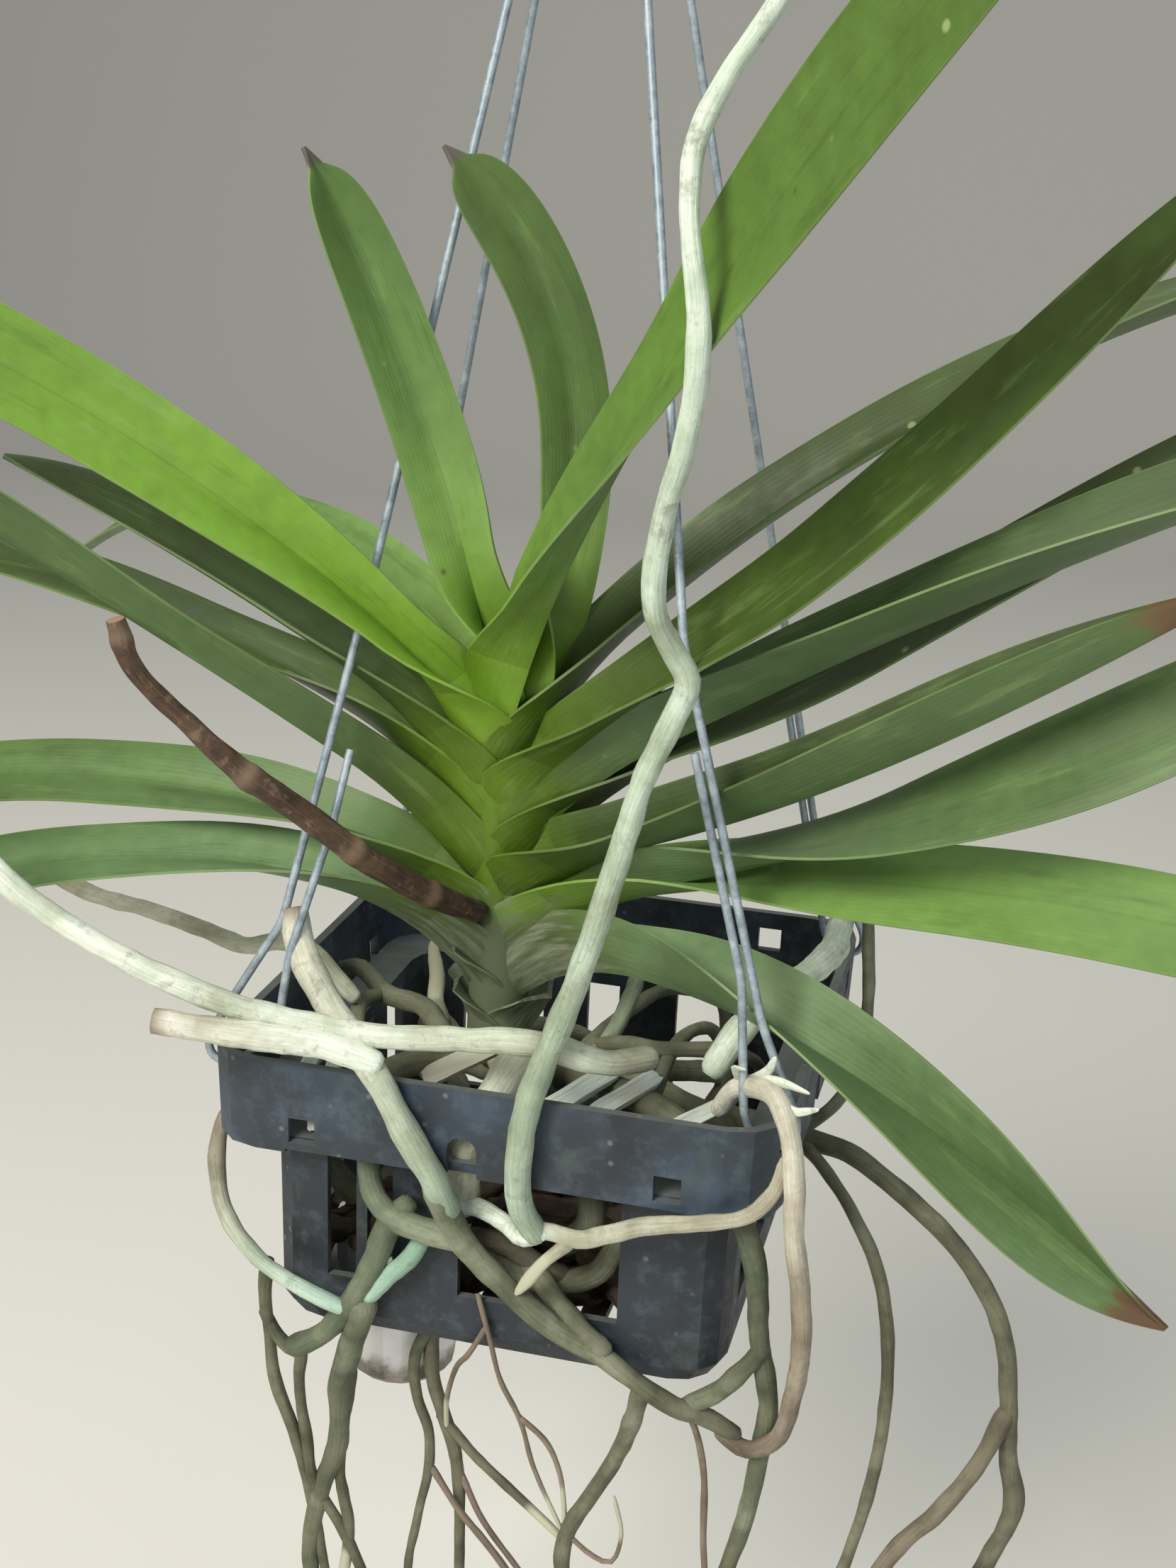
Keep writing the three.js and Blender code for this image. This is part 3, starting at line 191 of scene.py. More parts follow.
# Each root: how thick it starts and ends, and the points that it runs through.
ROUTES = {
    "front_hanging": (1.95, 3.5, [
      (66, -102, 268), (61, -103, 253), (53, -105, 240), (47, -107, 226), (47, -109, 213),
      (50, -109, 192), (49, -107, 172), (43, -100, 150), (41, -94, 130), (44, -89, 121), (48, -88, 113),
      (45, -87, 104), (38, -84, 87), (33, -82, 68), (27, -79.5, 46), (21, -79, 26), (16, -79, 12),
      (12, -79, -4), (11, -78.6, -18), (11, -76, -28), (14, -70, -39)]),
    "left_reaching": (3, 3.3, [
      (-168, -99, 86), (-148, -97, 71), (-128, -95, 57), (-109, -92, 41), (-84, -88, 27), (-65, -84, 19),
      (-46, -79, 14), (-28, -76, 12), (-5, -75, 14), (14, -74, 15), (29, -66, 9), (38, -57, 8)]),
    "left_cut": (3.7, 3.4, [(-78, -90, 14), (-61, -86, 12), (-49, -83, 11), (-40, -81, 10), (-26, -79, 6)]),
    "rim_crossing": (3.8, 3.6, [
      (-55, -60, 34), (-52, -63, 26), (-46, -68, 20), (-38, -74, 14), (-31, -78, 8), (-25, -79, 1),
      (-19, -79, -10), (-12, -78, -22), (-8, -74, -34)]),
    "left_loop": (2.3, 2.2, [
      (-66, -46, -19), (-75, -50, -25.5), (-79, -53, -33), (-79, -56, -42), (-76, -60, -50.5),
      (-70, -64, -57), (-61, -68, -62), (-50, -70, -66), (-42, -68.5, -70), (-36, -65, -74)]),
    "corner": (2.7, 2.3, [
      (56, -56, -4), (61, -61, 5), (67, -67, 9), (73, -75, 10), (77, -79.5, 4), (79, -80, -8),
      (79.5, -76, -24), (81.3, -70, -42), (82.3, -66, -60), (80.5, -61, -80), (77, -58, -94),
      (69, -56, -100), (62, -56, -96)]),
    "right_arch": (2.8, 2.5, [
      (45, -13, -26), (60, -8, -30), (74, -8, -33), (86, -11, -34), (99, -15, -40), (112, -19, -48),
      (123, -20, -60), (131, -20, -76), (134, -18, -94), (136, -15, -116), (139, -12, -134),
      (134, -10, -153), (127, -8, -176), (124, -7, -202), (127, -8, -222)]),
    "right_branch": (2.6, 2.1, [
      (134, -18, -100), (128, -23, -115), (119, -30, -127), (109, -33, -139), (102, -34, -156),
      (97, -33, -180), (98, -32, -200)]),
    "right_thin": (1.85, 1.75, [
      (66, -4, -32), (78, -15, -36), (90, -25, -46), (98, -30, -60), (102, -30, -86), (101, -28, -118),
      (95, -26, -153), (89, -24, -176), (86, -22, -210), (90, -20, -232)]),
    "right_upper": (1.8, 1.8, [
      (76.5, 60, 26), (79.4, 48, 10), (82.4, 36, -10), (83, 22, -22), (78, 4, -28), (70, -6, -32)]),
    "drop_right": (3, 2.1, [
      (60, -62, -20), (69, -66.5, -38), (71, -62, -62), (74, -56, -86), (72, -50, -106), (69, -47, -128),
      (64, -45, -150), (58, -43, -176), (56, -42, -200)]),
    "flat_flake_1": (1.7, 0.9, [(64, -64, 8), (69, -68, 14), (71, -72, 19)]),
    "flat_flake_2": (2.1, 0.8, [(67, -67, 10), (73, -71, 13), (79, -74, 13)]),
    "flat_flake_3": (1.5, 0.7, [(62, -62, 7), (61, -67, 13), (64, -73, 16)]),
    "flat_flake_4": (1.6, 0.8, [(72, -73, 11), (77, -77, 9), (82, -79, 11)]),
    "web_right": (2.6, 2.5, [(72, -62, -66), (66, -62, -75), (60, -60.5, -82.5), (53, -60, -87.5)]),
    "front_green": (3.2, 3.2, [
      (-35, -60, -27), (-31, -66, -37), (-25, -69, -41), (-16, -70.5, -43), (-5, -70, -44)]),
    "front_main": (3.7, 2.4, [
      (-11, -77, -26), (-8, -74, -36), (-3, -70.5, -47), (6, -69, -56), (18, -68, -66), (30, -65.5, -73),
      (40, -65.5, -79), (50, -63.5, -85.8), (58, -59, -90.5), (66, -55.5, -96.5)]),
    "front_white": (2.6, 2.4, [
      (-12, -64, -38), (-4, -64, -37.5), (4, -65, -40), (10, -69, -41), (16, -71, -37)]),
    "window_high": (2.9, 2.9, [(8, -56, -55), (15, -60, -60), (24, -65, -66), (32, -65.5, -72)]),
    "window_brown": (3, 2.8, [
      (-14, -66, -47), (-6, -62, -48), (3, -59, -50), (11, -56, -56), (18, -52, -61)]),
    "window_low": (3.2, 3, [
      (-10, -69, -42), (-2, -64, -52), (4, -58, -58), (14, -54, -62), (26, -52, -58), (32, -50, -48)]),
    "diagonal": (3.3, 3, [
      (-21, -67, -38), (-26, -68, -45), (-30, -67.5, -56), (-36, -66.5, -69), (-43, -65, -80),
      (-50, -62.5, -87), (-56, -60, -91.5)]),
    "teal": (2.5, 2.4, [(-17, -66, -47), (-20, -67, -53), (-26, -67, -60), (-32, -66, -68)]),
    "left_thick": (3.6, 1.9, [
      (-33, -66.5, -70), (-37, -63.5, -83), (-43, -57, -102), (-45.5, -52, -125), (-51, -50, -142),
      (-55, -49, -165), (-53, -48, -188), (-57, -47, -208)]),
    "left_outer": (1.9, 1.4, [
      (-60, -67, -62), (-62, -64, -73), (-63, -59, -88), (-63, -55, -106), (-58, -53, -124),
      (-55, -50, -142), (-51, -48, -170), (-47, -47, -192), (-44, -46, -212)]),
    "left_inner": (1.8, 1.35, [
      (-53, -60, -90), (-55, -57, -106), (-54, -54, -124), (-53, -51, -140), (-46, -48, -156),
      (-40, -46, -172), (-36, -44, -190), (-36, -43, -206)]),
    "left_cross": (1.9, 1.6, [
      (-40, -57, -98), (-45, -51, -124), (-46, -49, -138), (-44, -47, -156), (-46, -46, -176)]),
    "left_bridge": (1.8, 1.7, [(-64, -60, -82), (-60, -59, -90), (-55, -59.5, -93), (-49, -60, -87)]),
    "middle_left": (2.3, 1.3, [
      (-16, -44, -76), (-21, -44, -88), (-21, -44, -102), (-19, -42, -114), (-15, -40, -130),
      (-14, -38, -146), (-14, -36, -172), (-13, -35, -196)]),
    "middle_back": (1.9, 1, [
      (-20, -45, -84), (-25, -47, -96), (-25, -45, -110), (-22, -43, -122), (-22, -42, -134),
      (-25, -42, -152), (-28, -41, -172), (-26, -40, -190)]),
    "middle_right": (1.6, 1.1, [
      (-19, -42, -117), (-10, -42, -127), (1, -45, -133.3), (13, -47, -141), (20, -48, -146)]),
    "branch_down": (2.5, 2, [
      (42, -65, -82), (39.4, -60.5, -94.6), (34.4, -55, -110.6), (27, -51, -127.5), (20.8, -49, -141),
      (19, -48, -152), (21, -48, -168), (20, -47, -186)]),
    "thread_1": (0.8, 0.65, [
      (-3, -62.5, -64), (1, -64, -76), (3, -60, -90), (7.5, -54, -106), (10.5, -51, -121), (19, -49, -142)]),
    "thread_2": (0.8, 0.65, [(7, -54.5, -104), (14, -52, -112), (18, -50, -123), (20, -49, -141)]),
    "thread_3": (0.85, 0.7, [
      (0, -64, -72), (-6, -60, -84), (-12, -51, -95), (-16, -46, -109), (-17, -42, -122)]),
    "thread_4": (1.1, 1, [
      (-21, -42, -135), (-13, -42, -147), (-4, -42, -157), (4, -42, -168), (8, -41, -184)]),
    "thread_5": (0.95, 0.85, [
      (-14, -39, -136), (-7, -38, -152), (3, -38, -165), (10, -38, -174), (14, -38, -190)]),
    "thread_6": (0.75, 0.6, [
      (20, -49, -142), (28, -49, -148), (33, -49, -149), (36, -50, -139), (34, -52, -126)]),
    "thread_7": (1, 0.9, [
      (50, -59, -87), (54, -52, -98), (57, -47, -116), (58, -46, -138), (60, -45, -162),
      (60, -44, -184)]),
    "flat_long": (2.6, 2, [
      (12, -71, -38), (17, -71, -37), (25, -72.5, -37), (33, -75, -33), (43, -76.5, -28), (56, -78, -24),
      (68, -78, -20), (74, -77, -13), (76.5, -77, -4)]),
    "flat_branch": (1.8, 1.6, [(24, -72, -38), (17, -72, -45), (11, -71.5, -54)]),
    "rear_reaching": (2.5, 2.5, [
      (-192, 40, 2), (-175, 34, -2), (-157, 28, -5), (-136, 20, -4), (-113, 10, -3.5), (-95, 2, -3.5),
      (-82, -3, 1.5), (-71, -8, 2), (-56, -13, -8)]),
    "right_cut": (3.8, 3.6, [
      (75, 12, 22), (75, 0, 20), (73, -12, 20), (69, -26, 20), (63, -38, 18), (58, -46, 13),
      (53, -51, 4)]),

    "inner_front": (4.4, 3.4, [CROWN, (2, -34, -16), (16, -46, -26), (24, -52, -42), (16, -48, -54)]),
    "inner_slab": (5.2, 4.6, [
      (-8, -26, -14), (2, -40, -5), (3, -50, -2), (-1, -60, -8), (-6, -65, -20), (-9, -60, -40)]),
    "inner_left": (4.2, 3.2, [CROWN, (-30, -24, -18), (-46, -36, -24), (-52, -46, -38), (-44, -44, -52)]),
    "inner_left_back": (4, 3, [CROWN, (-28, -2, -22), (-44, 22, -28), (-50, 38, -40), (-38, 34, -55)]),
    "inner_back": (4, 3, [CROWN, (-12, 6, -20), (-4, 30, -30), (8, 44, -44), (0, 36, -55)]),
    "inner_right": (4.4, 3.2, [
      CROWN, (10, -14, -16), (32, -18, -20), (50, -14, -30), (52, 2, -44), (40, 12, -54)]),
    "inner_right_back": (3.8, 3, [CROWN, (8, 2, -26), (26, 24, -34), (42, 40, -42), (36, 34, -54)]),
    "inner_right_front": (3.8, 3.2, [
      CROWN, (8, -28, -16), (30, -43, -10), (47, -48, -16), (52, -48, -34), (42, -44, -53)]),
    "inner_net": (2.2, 1.8, [
      (12, -14, -12), (24, -26, -4), (38, -34, 0), (50, -30, 0), (58, -20, -6), (60, -6, -18)]),
    "inner_net_cross": (1.9, 1.7, [
      (34, -42, -20), (37, -38, -8), (40, -31, 1), (46, -14, -2), (50, -10, -14), (50, -13, -29)]),
    "inner_rear_net": (2, 1.8, [(10, -10, -14), (20, 8, -8), (26, 28, -10), (38, 44, -18), (42, 42, -40)]),
    "stub_flat": (3.2, 2.4, [(-26, -16, -19), (-39, -2, -13), (-52, 3, -13), (-62, 8, -8), (-68, 8, -9)]),
    "stub_upright": (2.7, 2.1, [(-32, -5, -17), (-37, 2, -12), (-38, 6, -6), (-40, 9, -1)]),
    "stub_round": (3, 2.6, [(-18, -12, -17), (-23, -4, -9), (-27, 0, -4), (-31, 0, -1)]),
    "stub_green": (2.6, 2.2, [(8, -26, -18), (18, -18, -8), (21, -8, -1), (21, 4, 3)]),
    "stub_left": (2.8, 2.2, [(-44, -34, -24), (-52, -22, -16), (-56, -8, -12), (-54, 2, -13)]),
}

# Which routes make up each CAD node: roots that grow together or lie fused to each other.
SYSTEMS = {
    "roots_inner": [route for route in ROUTES if route.startswith(("inner_", "stub_"))],
    "root_front_pale": ["front_hanging", "left_reaching", "left_cut", "rim_crossing"],
    "root_left_loop": ["left_loop"],
    "root_corner": ["corner", "flat_flake_1", "flat_flake_2", "flat_flake_3", "flat_flake_4"],
    "root_front_net": ["front_green", "front_main", "window_high", "window_brown", "window_low", "drop_right",
                       "web_right", "branch_down", "thread_7"],
    "root_front_white": ["front_white"],
    "root_front_flat": ["flat_long", "flat_branch"],
    "root_left_hanging": ["diagonal", "teal", "left_thick", "left_outer", "left_inner", "left_cross",
                          "left_bridge"],
    "root_middle_hanging": ["middle_left", "middle_back", "middle_right", "thread_1", "thread_2", "thread_3",
                            "thread_4", "thread_5", "thread_6"],
    "root_right_hanging": ["right_arch", "right_branch", "right_thin", "right_upper"],
    "root_right_cut": ["right_cut"],
    "root_rear_reaching": ["rear_reaching"],
}
PIECE_NAMES = {"roots_inner": "inner_roots_velamen"}


# ---- leaves ----
COLUMNS = 14                    # quads across each face of a leaf
ACROSS = np.sin(np.linspace(-1, 1, COLUMNS + 1) * math.pi / 2)
ROUND = np.concatenate([ACROSS, ACROSS[::-1]])          # over the upper face and back under the lower one
UPPER = np.concatenate([np.ones(COLUMNS + 1), np.zeros(COLUMNS + 1)])       # 1 on the upper face
TUCK = 0.8                      # how far a blade starts over the sheath that it grows from
HUSK_LOW, HUSK_HIGH = 0, 66     # heights between which the leaf bases turn from husk to green
SOFT_KEEL = 0.09                # how far the crease at the keel is rounded, as a share of the half width
KEEL_RIDGE = 0.8                # how far the keel stands out below, at the foot of a leaf
FOOT_THICK, TIP_THICK = 2.1, 1.3        # of a blade, along its middle
LOW_SHEATH, HIGH_SHEATH = 8.4, 5.2      # how far the sheaths stand out sideways, low and high on the stem


def seed_of(number):
    return number * 1.37 + 0.4


def husk_at(height):
    return 1 - ease((height - HUSK_LOW) / (HUSK_HIGH - HUSK_LOW))


def stem_point(height):
    return STEM_LOW + (STEM_HIGH - STEM_LOW) * (height - STEM_LOW[2]) / (STEM_HIGH[2] - STEM_LOW[2])


def leaf_stations(leaf, shares):
    """At each share of a leaf's length: middle, sideways and upward directions, half width and fold."""
    fine = 80
    u = np.linspace(0, 1, fine + 1)
    climb = np.radians(leaf.rise - leaf.droop * u ** leaf.bend)
    turn = np.radians(leaf.heading + leaf.swing * u)
    along = np.stack([np.cos(climb) * np.cos(turn), np.cos(climb) * np.sin(turn), np.sin(climb)], 1)
    along[:, 2] += 2 * SWEEP * np.maximum(0, 1 - u * leaf.length / CLASP) / CLASP
    steps = (along[1:] + along[:-1]) * leaf.length / fine / 2
    line = stem_point(leaf.at) - (0, 0, SWEEP) + np.vstack([np.zeros(3), np.cumsum(steps, 0)])

    def pick(values):
        return np.stack([np.interp(shares, u, values[:, i]) for i in range(3)], 1)

    run = unit(pick(unit(along)))
    turn = np.radians(leaf.heading + leaf.swing * shares)
    across = np.stack([np.sin(turn), -np.cos(turn), 0 * turn], 1)
    upward = np.cross(across, run)
    roll = np.radians(lerp(*leaf.roll, shares)) * ease(shares * leaf.length / 44)
    cos, sin = np.cos(roll)[:, None], np.sin(roll)[:, None]
    beyond = np.maximum(0, (shares - 0.5) / 0.5)
    outline = 1 - 0.94 * beyond ** leaf.tip
    if leaf.nib:
        # A blunt end with the dried remains of a point on it.
        blunt = np.sqrt(1 - np.minimum(1, beyond / 0.93) ** 9)
        outline = np.maximum(blunt, np.clip(3.05 - 3 * beyond, 0.05, leaf.nib))
    half = leaf.width / 2 * (0.8 + 0.2 * ease(shares / 0.35)) * outline
    half = half * (1 + FLARE * (1 - ease(shares * leaf.length / CLASP)))
    fold = np.radians(lerp(FOLD_AT_BASE, leaf.fold, ease(shares / 0.45)))
    return zip(pick(line), across * cos + upward * sin, upward * cos - across * sin, half, fold)


def blade_ring(place, side, face, half, fold, u, s, seed, slim=0.0):
    """Upper face from edge to edge, then the lower face back, of a leathery blade thinner at its edges."""
    half = half * (1 - 0.1 * slim)
    lift = (np.sqrt(ACROSS**2 + SOFT_KEEL**2) - SOFT_KEEL) / (math.sqrt(1 + SOFT_KEEL**2) - SOFT_KEEL)
    belly = 0.10 * (np.abs(ACROSS) - ACROSS**2)
    wave = 0.028 * ACROSS**2 * np.sin(s / 19 + seed + 1.3 * np.sign(ACROSS))
    x = half * math.cos(fold) * ACROSS
    y = half * (math.sin(fold) * lift + belly + wave)
    dx, dy = np.gradient(x), np.gradient(y)
    size = np.hypot(dx, dy) + 1e-9
    nx, ny = -dy / size, dx / size
    thick = lerp(FOOT_THICK, TIP_THICK, u) * (1 - 0.62 * np.abs(ACROSS) ** 3) * (1 - slim)
    ridge = KEEL_RIDGE * np.exp(-((ACROSS / 0.07) ** 2)) * (1 - u)

    def spot(px, py):
        return place + np.outer(px, side) + np.outer(py, face)

    upper = spot(x + nx * thick / 2, y + ny * thick / 2)
    lower = spot(x - nx * thick / 2, y - ny * (thick / 2 + ridge))
    return np.vstack([upper, lower[::-1]])


def leaf_piece(name, leaf, seed, material):
    steps = np.linspace(0, 1, 62)
    start = (SHEATH - TUCK) / leaf.length
    shares = start + (1 - start) * (1 - (1 - steps) ** 1.35)        # closer where the outline turns in
    lean = wander(shares * leaf.length, seed, 60) * 0.5 * ease(shares / 0.3)
    rings = [blade_ring(place + face * off, side, face, half, fold, u, u * leaf.length, seed)
             for (place, side, face, half, fold), u, off in zip(leaf_stations(leaf, shares), shares, lean)]
    points = np.concatenate(rings)
    s = np.repeat(shares * leaf.length, len(ROUND))
    young, cool, tip_dry = leaf.look
    dry = ease((s - (leaf.length - tip_dry)) / (0.6 * tip_dry + 1e-6)) if tip_dry else 0 * s
    husk = husk_at(points[:, 2])
    young = young * (1 - 0.42 * ease((s / leaf.length - 0.3) / 0.6))
    marks = dict(across=np.tile(ROUND, len(rings)), run=s, top=np.tile(UPPER, len(rings)), dry=dry,
                 young=young * (1 - 0.75 * husk * (1 - ease((s - 30) / 60))), cool=0 * s + cool,
                 seed=0 * s + seed, husk=husk * (1 - ease((s - SHEATH) / 30)))
    add_piece(f"strap_leaf_{name}", points, ring_faces(len(rings), len(ROUND)), material, (f"leaf_{name}",),
              marks)


def sheath_rings(leaf, reach, seed, count=9):
    """A leaf base that clasps the stem: full where younger leaves stand in it, opening into its own blade,
    which it enters with a slimmer tongue."""
    outside = lerp(LOW_SHEATH, HIGH_SHEATH, leaf.at / 96)
    run = np.append(np.linspace(1, reach - TUCK, count), (reach, reach + 2))
    far = np.abs(ACROSS)
    rings = []
    for i, (place, side, face, half, fold) in enumerate(leaf_stations(leaf, run / leaf.length)):
        s = run[i]
        open_ = min(1, (s - 1) / (reach - TUCK - 1))
        height = half * math.sin(fold)
        wall = outside * np.sin(np.minimum(1, far * 1.25) * math.pi / 2)
        wall = wall * (1 - 0.2 * np.maximum(0, far - 0.6) / 0.4)
        grow = lerp(0.3, 1, ease((s - 1) / 11))

        def spot(x, y):
            return place + np.outer(x * grow, side) + np.outer(y * grow, face)

        outer = spot(np.sign(ACROSS) * wall, -2.4 + (height + 2.4) * far**1.5)
        cap = spot(outside * 0.8 * ACROSS, height + 0.6 * (1 - ACROSS**2))
        slim = 0.0 if i < count else 0.22
        blade = blade_ring(place, side, face, half, fold, s / leaf.length, s, seed, slim)
        rings.append(np.vstack([cap, outer[::-1]]) * (1 - open_) + blade * open_)
    return rings, run


def stem_piece(material):
    shell = Shell()
    centres = smooth_line([stem_point(h) for h in (-14, 24, 62, 92)], 3)
    points, faces, _ = tube_skin(centres, np.linspace(8.8, 4.5, len(centres)), 18)
    shell.add(points, faces, across=0.3, run=20, top=0, young=0.2, cool=0.2, dry=0, seed=0,
              husk=husk_at(points[:, 2]))
    bases = [(leaf, SHEATH, 0) for leaf in LEAVES.values()]
    bases += [(leaf, OLD_SHEATH, 0.85) for leaf in DROPPED_LEAVES]
    for number, (leaf, reach, least_husk) in enumerate(bases):
        rings, run = sheath_rings(leaf, reach, seed_of(number))
        points = np.concatenate(rings)
        husk = np.maximum(husk_at(points[:, 2]), least_husk)
        young, cool, _ = leaf.look
        shell.add(points, ring_faces(len(rings), len(ROUND)), across=np.tile(ROUND, len(rings)),
                  run=np.repeat(run, len(ROUND)), top=np.tile(UPPER, len(rings)), dry=0,
                  young=young * (1 - 0.75 * husk), cool=cool, husk=husk, seed=seed_of(number))
    shell.piece("clasping_sheaths_and_stem", material, ("stem",), "stem_tissue")


# ---- tubes along routes ----
def smooth_line(route, step):
    """Centripetal Catmull-Rom curve through the route, in even steps."""
    p = np.asarray(route, float)
    p = np.vstack([2 * p[0] - p[1], p, 2 * p[-1] - p[-2]])
    dense = []
    for p0, p1, p2, p3 in zip(p, p[1:], p[2:], p[3:]):
        t1 = max(np.linalg.norm(p1 - p0) ** 0.5, 1e-4)
        t2 = t1 + max(np.linalg.norm(p2 - p1) ** 0.5, 1e-4)
        t3 = t2 + max(np.linalg.norm(p3 - p2) ** 0.5, 1e-4)
        t = np.linspace(t1, t2, 24, endpoint=False)[:, None]
        a1 = (t1 - t) / t1 * p0 + t / t1 * p1
        a2 = (t2 - t) / (t2 - t1) * p1 + (t - t1) / (t2 - t1) * p2
        a3 = (t3 - t) / (t3 - t2) * p2 + (t - t2) / (t3 - t2) * p3
        b1 = (t2 - t) / t2 * a1 + t / t2 * a2
        b2 = (t3 - t) / (t3 - t1) * a2 + (t - t1) / (t3 - t1) * a3
        dense.append((t2 - t) / (t2 - t1) * b1 + (t - t1) / (t2 - t1) * b2)
    dense = np.vstack(dense + [p[-2][None]])
    travelled = run_along(dense)
    at = np.linspace(0, travelled[-1], max(3, round(travelled[-1] / step) + 1))
    return np.stack([np.interp(at, travelled, dense[:, i]) for i in range(3)], 1)


def run_along(line):
    """How far each point of a line is along it."""
    return np.concatenate([[0], np.cumsum(np.linalg.norm(np.diff(line, axis=0), axis=1))])


def carried_frames(centres):
    """Tangent and two cross directions at each point, carried along without twisting."""
    tangents = unit(np.gradient(centres, axis=0))
    side = unit(np.cross((0.31, 0.95, 0.12), tangents[0]))
    sides = []
    for tangent in tangents:
        side = unit(side - tangent * side.dot(tangent))
        sides.append(side)
    return tangents, np.array(sides), np.cross(tangents, sides)


# The shape of a tube's end: two rings, each with its size and how far it is drawn in, as shares of the
# radius.
END_SHAPES = {
    "round": ((0.55, 0.18), (0.86, 0.55)),
    "cut": ((0.80, 0.02), (0.97, 0.08)),
    "point": ((0.3, -1.2), (0.7, -0.4)),
}


def tube_skin(centres, radii, around, seed=0, flat=1.0, lumps=0.0, ends=("round", "round")):
    """Closed tube: points, faces and marks. Lumps swell and dent it the way a root does."""
    tangents, sides, others = carried_frames(centres)
    run = run_along(centres)
    caps = []
    for end, way, i in ((ends[0], -1, 0), (ends[1], 1, -1)):
        cap = [(centres[i] + tangents[i] * way * radii[i] * (0.62 - drawn_in), radii[i] * size, i)
               for size, drawn_in in END_SHAPES[end]]
        caps.append(cap[::-way])
    path = caps[0] + [(centres[i], radii[i], i) for i in range(1, len(centres) - 1)] + caps[1]
    turn = np.linspace(0, 2 * math.pi, around, endpoint=False)
    cos, sin = np.cos(turn), np.sin(turn)
    points, skin, travel = [], [], []
    for centre, radius, i in path:
        s = run[i]
        swell = np.ones(around)
        if lumps:
            slow = noise.noise(Vector((s / 17, seed * 3.1, 0.5)))
            ripple = [noise.noise(Vector((s / 6.5, c * 0.9 + seed, d * 0.9))) for c, d in zip(cos, sin)]
            swell = 1 + lumps * (0.8 * slow + 0.9 * np.array(ripple))
        points.append(centre + np.outer(cos * radius * swell, sides[i])
                      + np.outer(sin * radius * flat * swell, others[i]))
        skin.append(np.stack([np.full(around, s), cos * radius, sin * radius], 1))
        travel.append(np.full(around, s))
    travel = np.concatenate(travel)
    marks = dict(skin=np.vstack(skin), run=travel, share=travel / max(run[-1], 1e-6))
    return np.vstack(points), ring_faces(len(path), around), marks


# ---- roots ----
# How each root looks where it starts and where it ends: dry and silvery (pale), aged and pinkish (pink), wet
# and blue-green (wet); then the shape of its two ends.
ROOT_LOOKS = {
    "front_hanging": ((1.0, 0, 0.12), (0.6, 0, 0.26), "cut", "round"),
    "left_reaching": ((1.0, 0.1, 0), (0.75, 0.2, 0), "cut", "round"),
    "left_cut": ((0.9, 0.6, 0), (1.05, 0, 0), "cut", "round"),
    "rim_crossing": ((0.9, 0.5, 0), (0.6, 0, 0.35), "cut", "round"),
    "left_loop": ((0.3, 1.0, 0), (1.1, 0, 0.85)),
    "corner": ((1.05, 0.5, 0), (0.25, 0.8, 0)),
    "right_arch": ((0.2, 0.1, 0), (0.25, 0.4, 0), "round", "point"),
    "right_branch": ((0.25, 0.5, 0), (0.35, 0.7, 0), "round", "point"),
    "right_thin": ((0.3, 0.15, 0), (0.4, 0.4, 0), "round", "point"),
    "right_upper": ((0.3, 0.1, 0), (0.2, 0.1, 0)),
    "drop_right": ((0.15, 0, 0.03), (0.25, 0.15, 0), "round", "point"),
    "web_right": ((0.15, 0, 0), (0.25, 0, 0)),
    "front_green": ((0.35, 0, 0.1), (0.3, 0, 0.05)),
    "front_main": ((0.4, 0, 0), (0.25, 0.15, 0)),
    "front_white": ((1.0, 0, 0.05), (0.9, 0, 0.05)),
    "window_high": ((0.25, 0.1, 0), (0.3, 0.1, 0)),
    "window_brown": ((0.1, 0.5, 0), (0.1, 0.3, 0)),
    "window_low": ((0.2, 0.2, 0), (0.4, 0.1, 0)),
    "diagonal": ((0.22, 0, 0.06), (0.2, 0, 0.05)),
    "teal": ((0.6, 0, 0.75), (0.8, 0, 0.7)),
    "left_thick": ((0.25, 0.05, 0.04), (0.25, 0.2, 0), "round", "point"),
    "left_outer": ((0.25, 0.2, 0), (0.2, 0.1, 0), "round", "point"),
    "left_inner": ((0.2, 0.1, 0), (0.2, 0.2, 0), "round", "point"),
    "left_cross": ((0.2, 0.1, 0), (0.2, 0.1, 0), "round", "point"),
    "left_bridge": ((0.25, 0, 0), (0.25, 0, 0)),
    "middle_left": ((0.3, 0.3, 0), (0.2, 0.3, 0), "round", "point"),
    "middle_back": ((0.3, 0.1, 0), (0.2, 0.2, 0), "round", "point"),
    "middle_right": ((0.2, 0.4, 0), (0.2, 0.5, 0), "round", "point"),
    "branch_down": ((0.3, 0.1, 0), (0.2, 0.3, 0), "round", "point"),
    "flat_long": ((0.8, 0.25, 0), (0.65, 0.6, 0)),
    "flat_branch": ((0.6, 0.5, 0), (0.4, 0.5, 0), "round", "point"),
    "rear_reaching": ((0.6, 0.5, 0), (0.8, 0.2, 0), "point", "round"),
    "right_cut": ((0.9, 0, 0), (0.85, 0, 0.1), "cut", "round"),
    "inner_slab": ((0.8, 0.35, 0), (0.7, 0.25, 0)),
    "stub_upright": ((0.5, 0.1, 0), (0.8, 0.1, 0), "round", "point"),
    "stub_green": ((0.4, 0, 0.08), (0.45, 0, 0.1), "round", "cut"),
}
FLAKE = ((0.9, 0.2, 0), (1.2, 0, 0), "round", "point")
PLAIN_ROOT = ((0.3, 0.15, 0), (0.2, 0.1, 0.05))
THREAD_ROOT = ((0.35, 0.9, 0), (0.3, 0.8, 0), "round", "point")
SWELL = 0.09                    # how far a root swells and narrows, as a share of its radius
LUMPS = 0.15                    # how deep its lumps and dents are


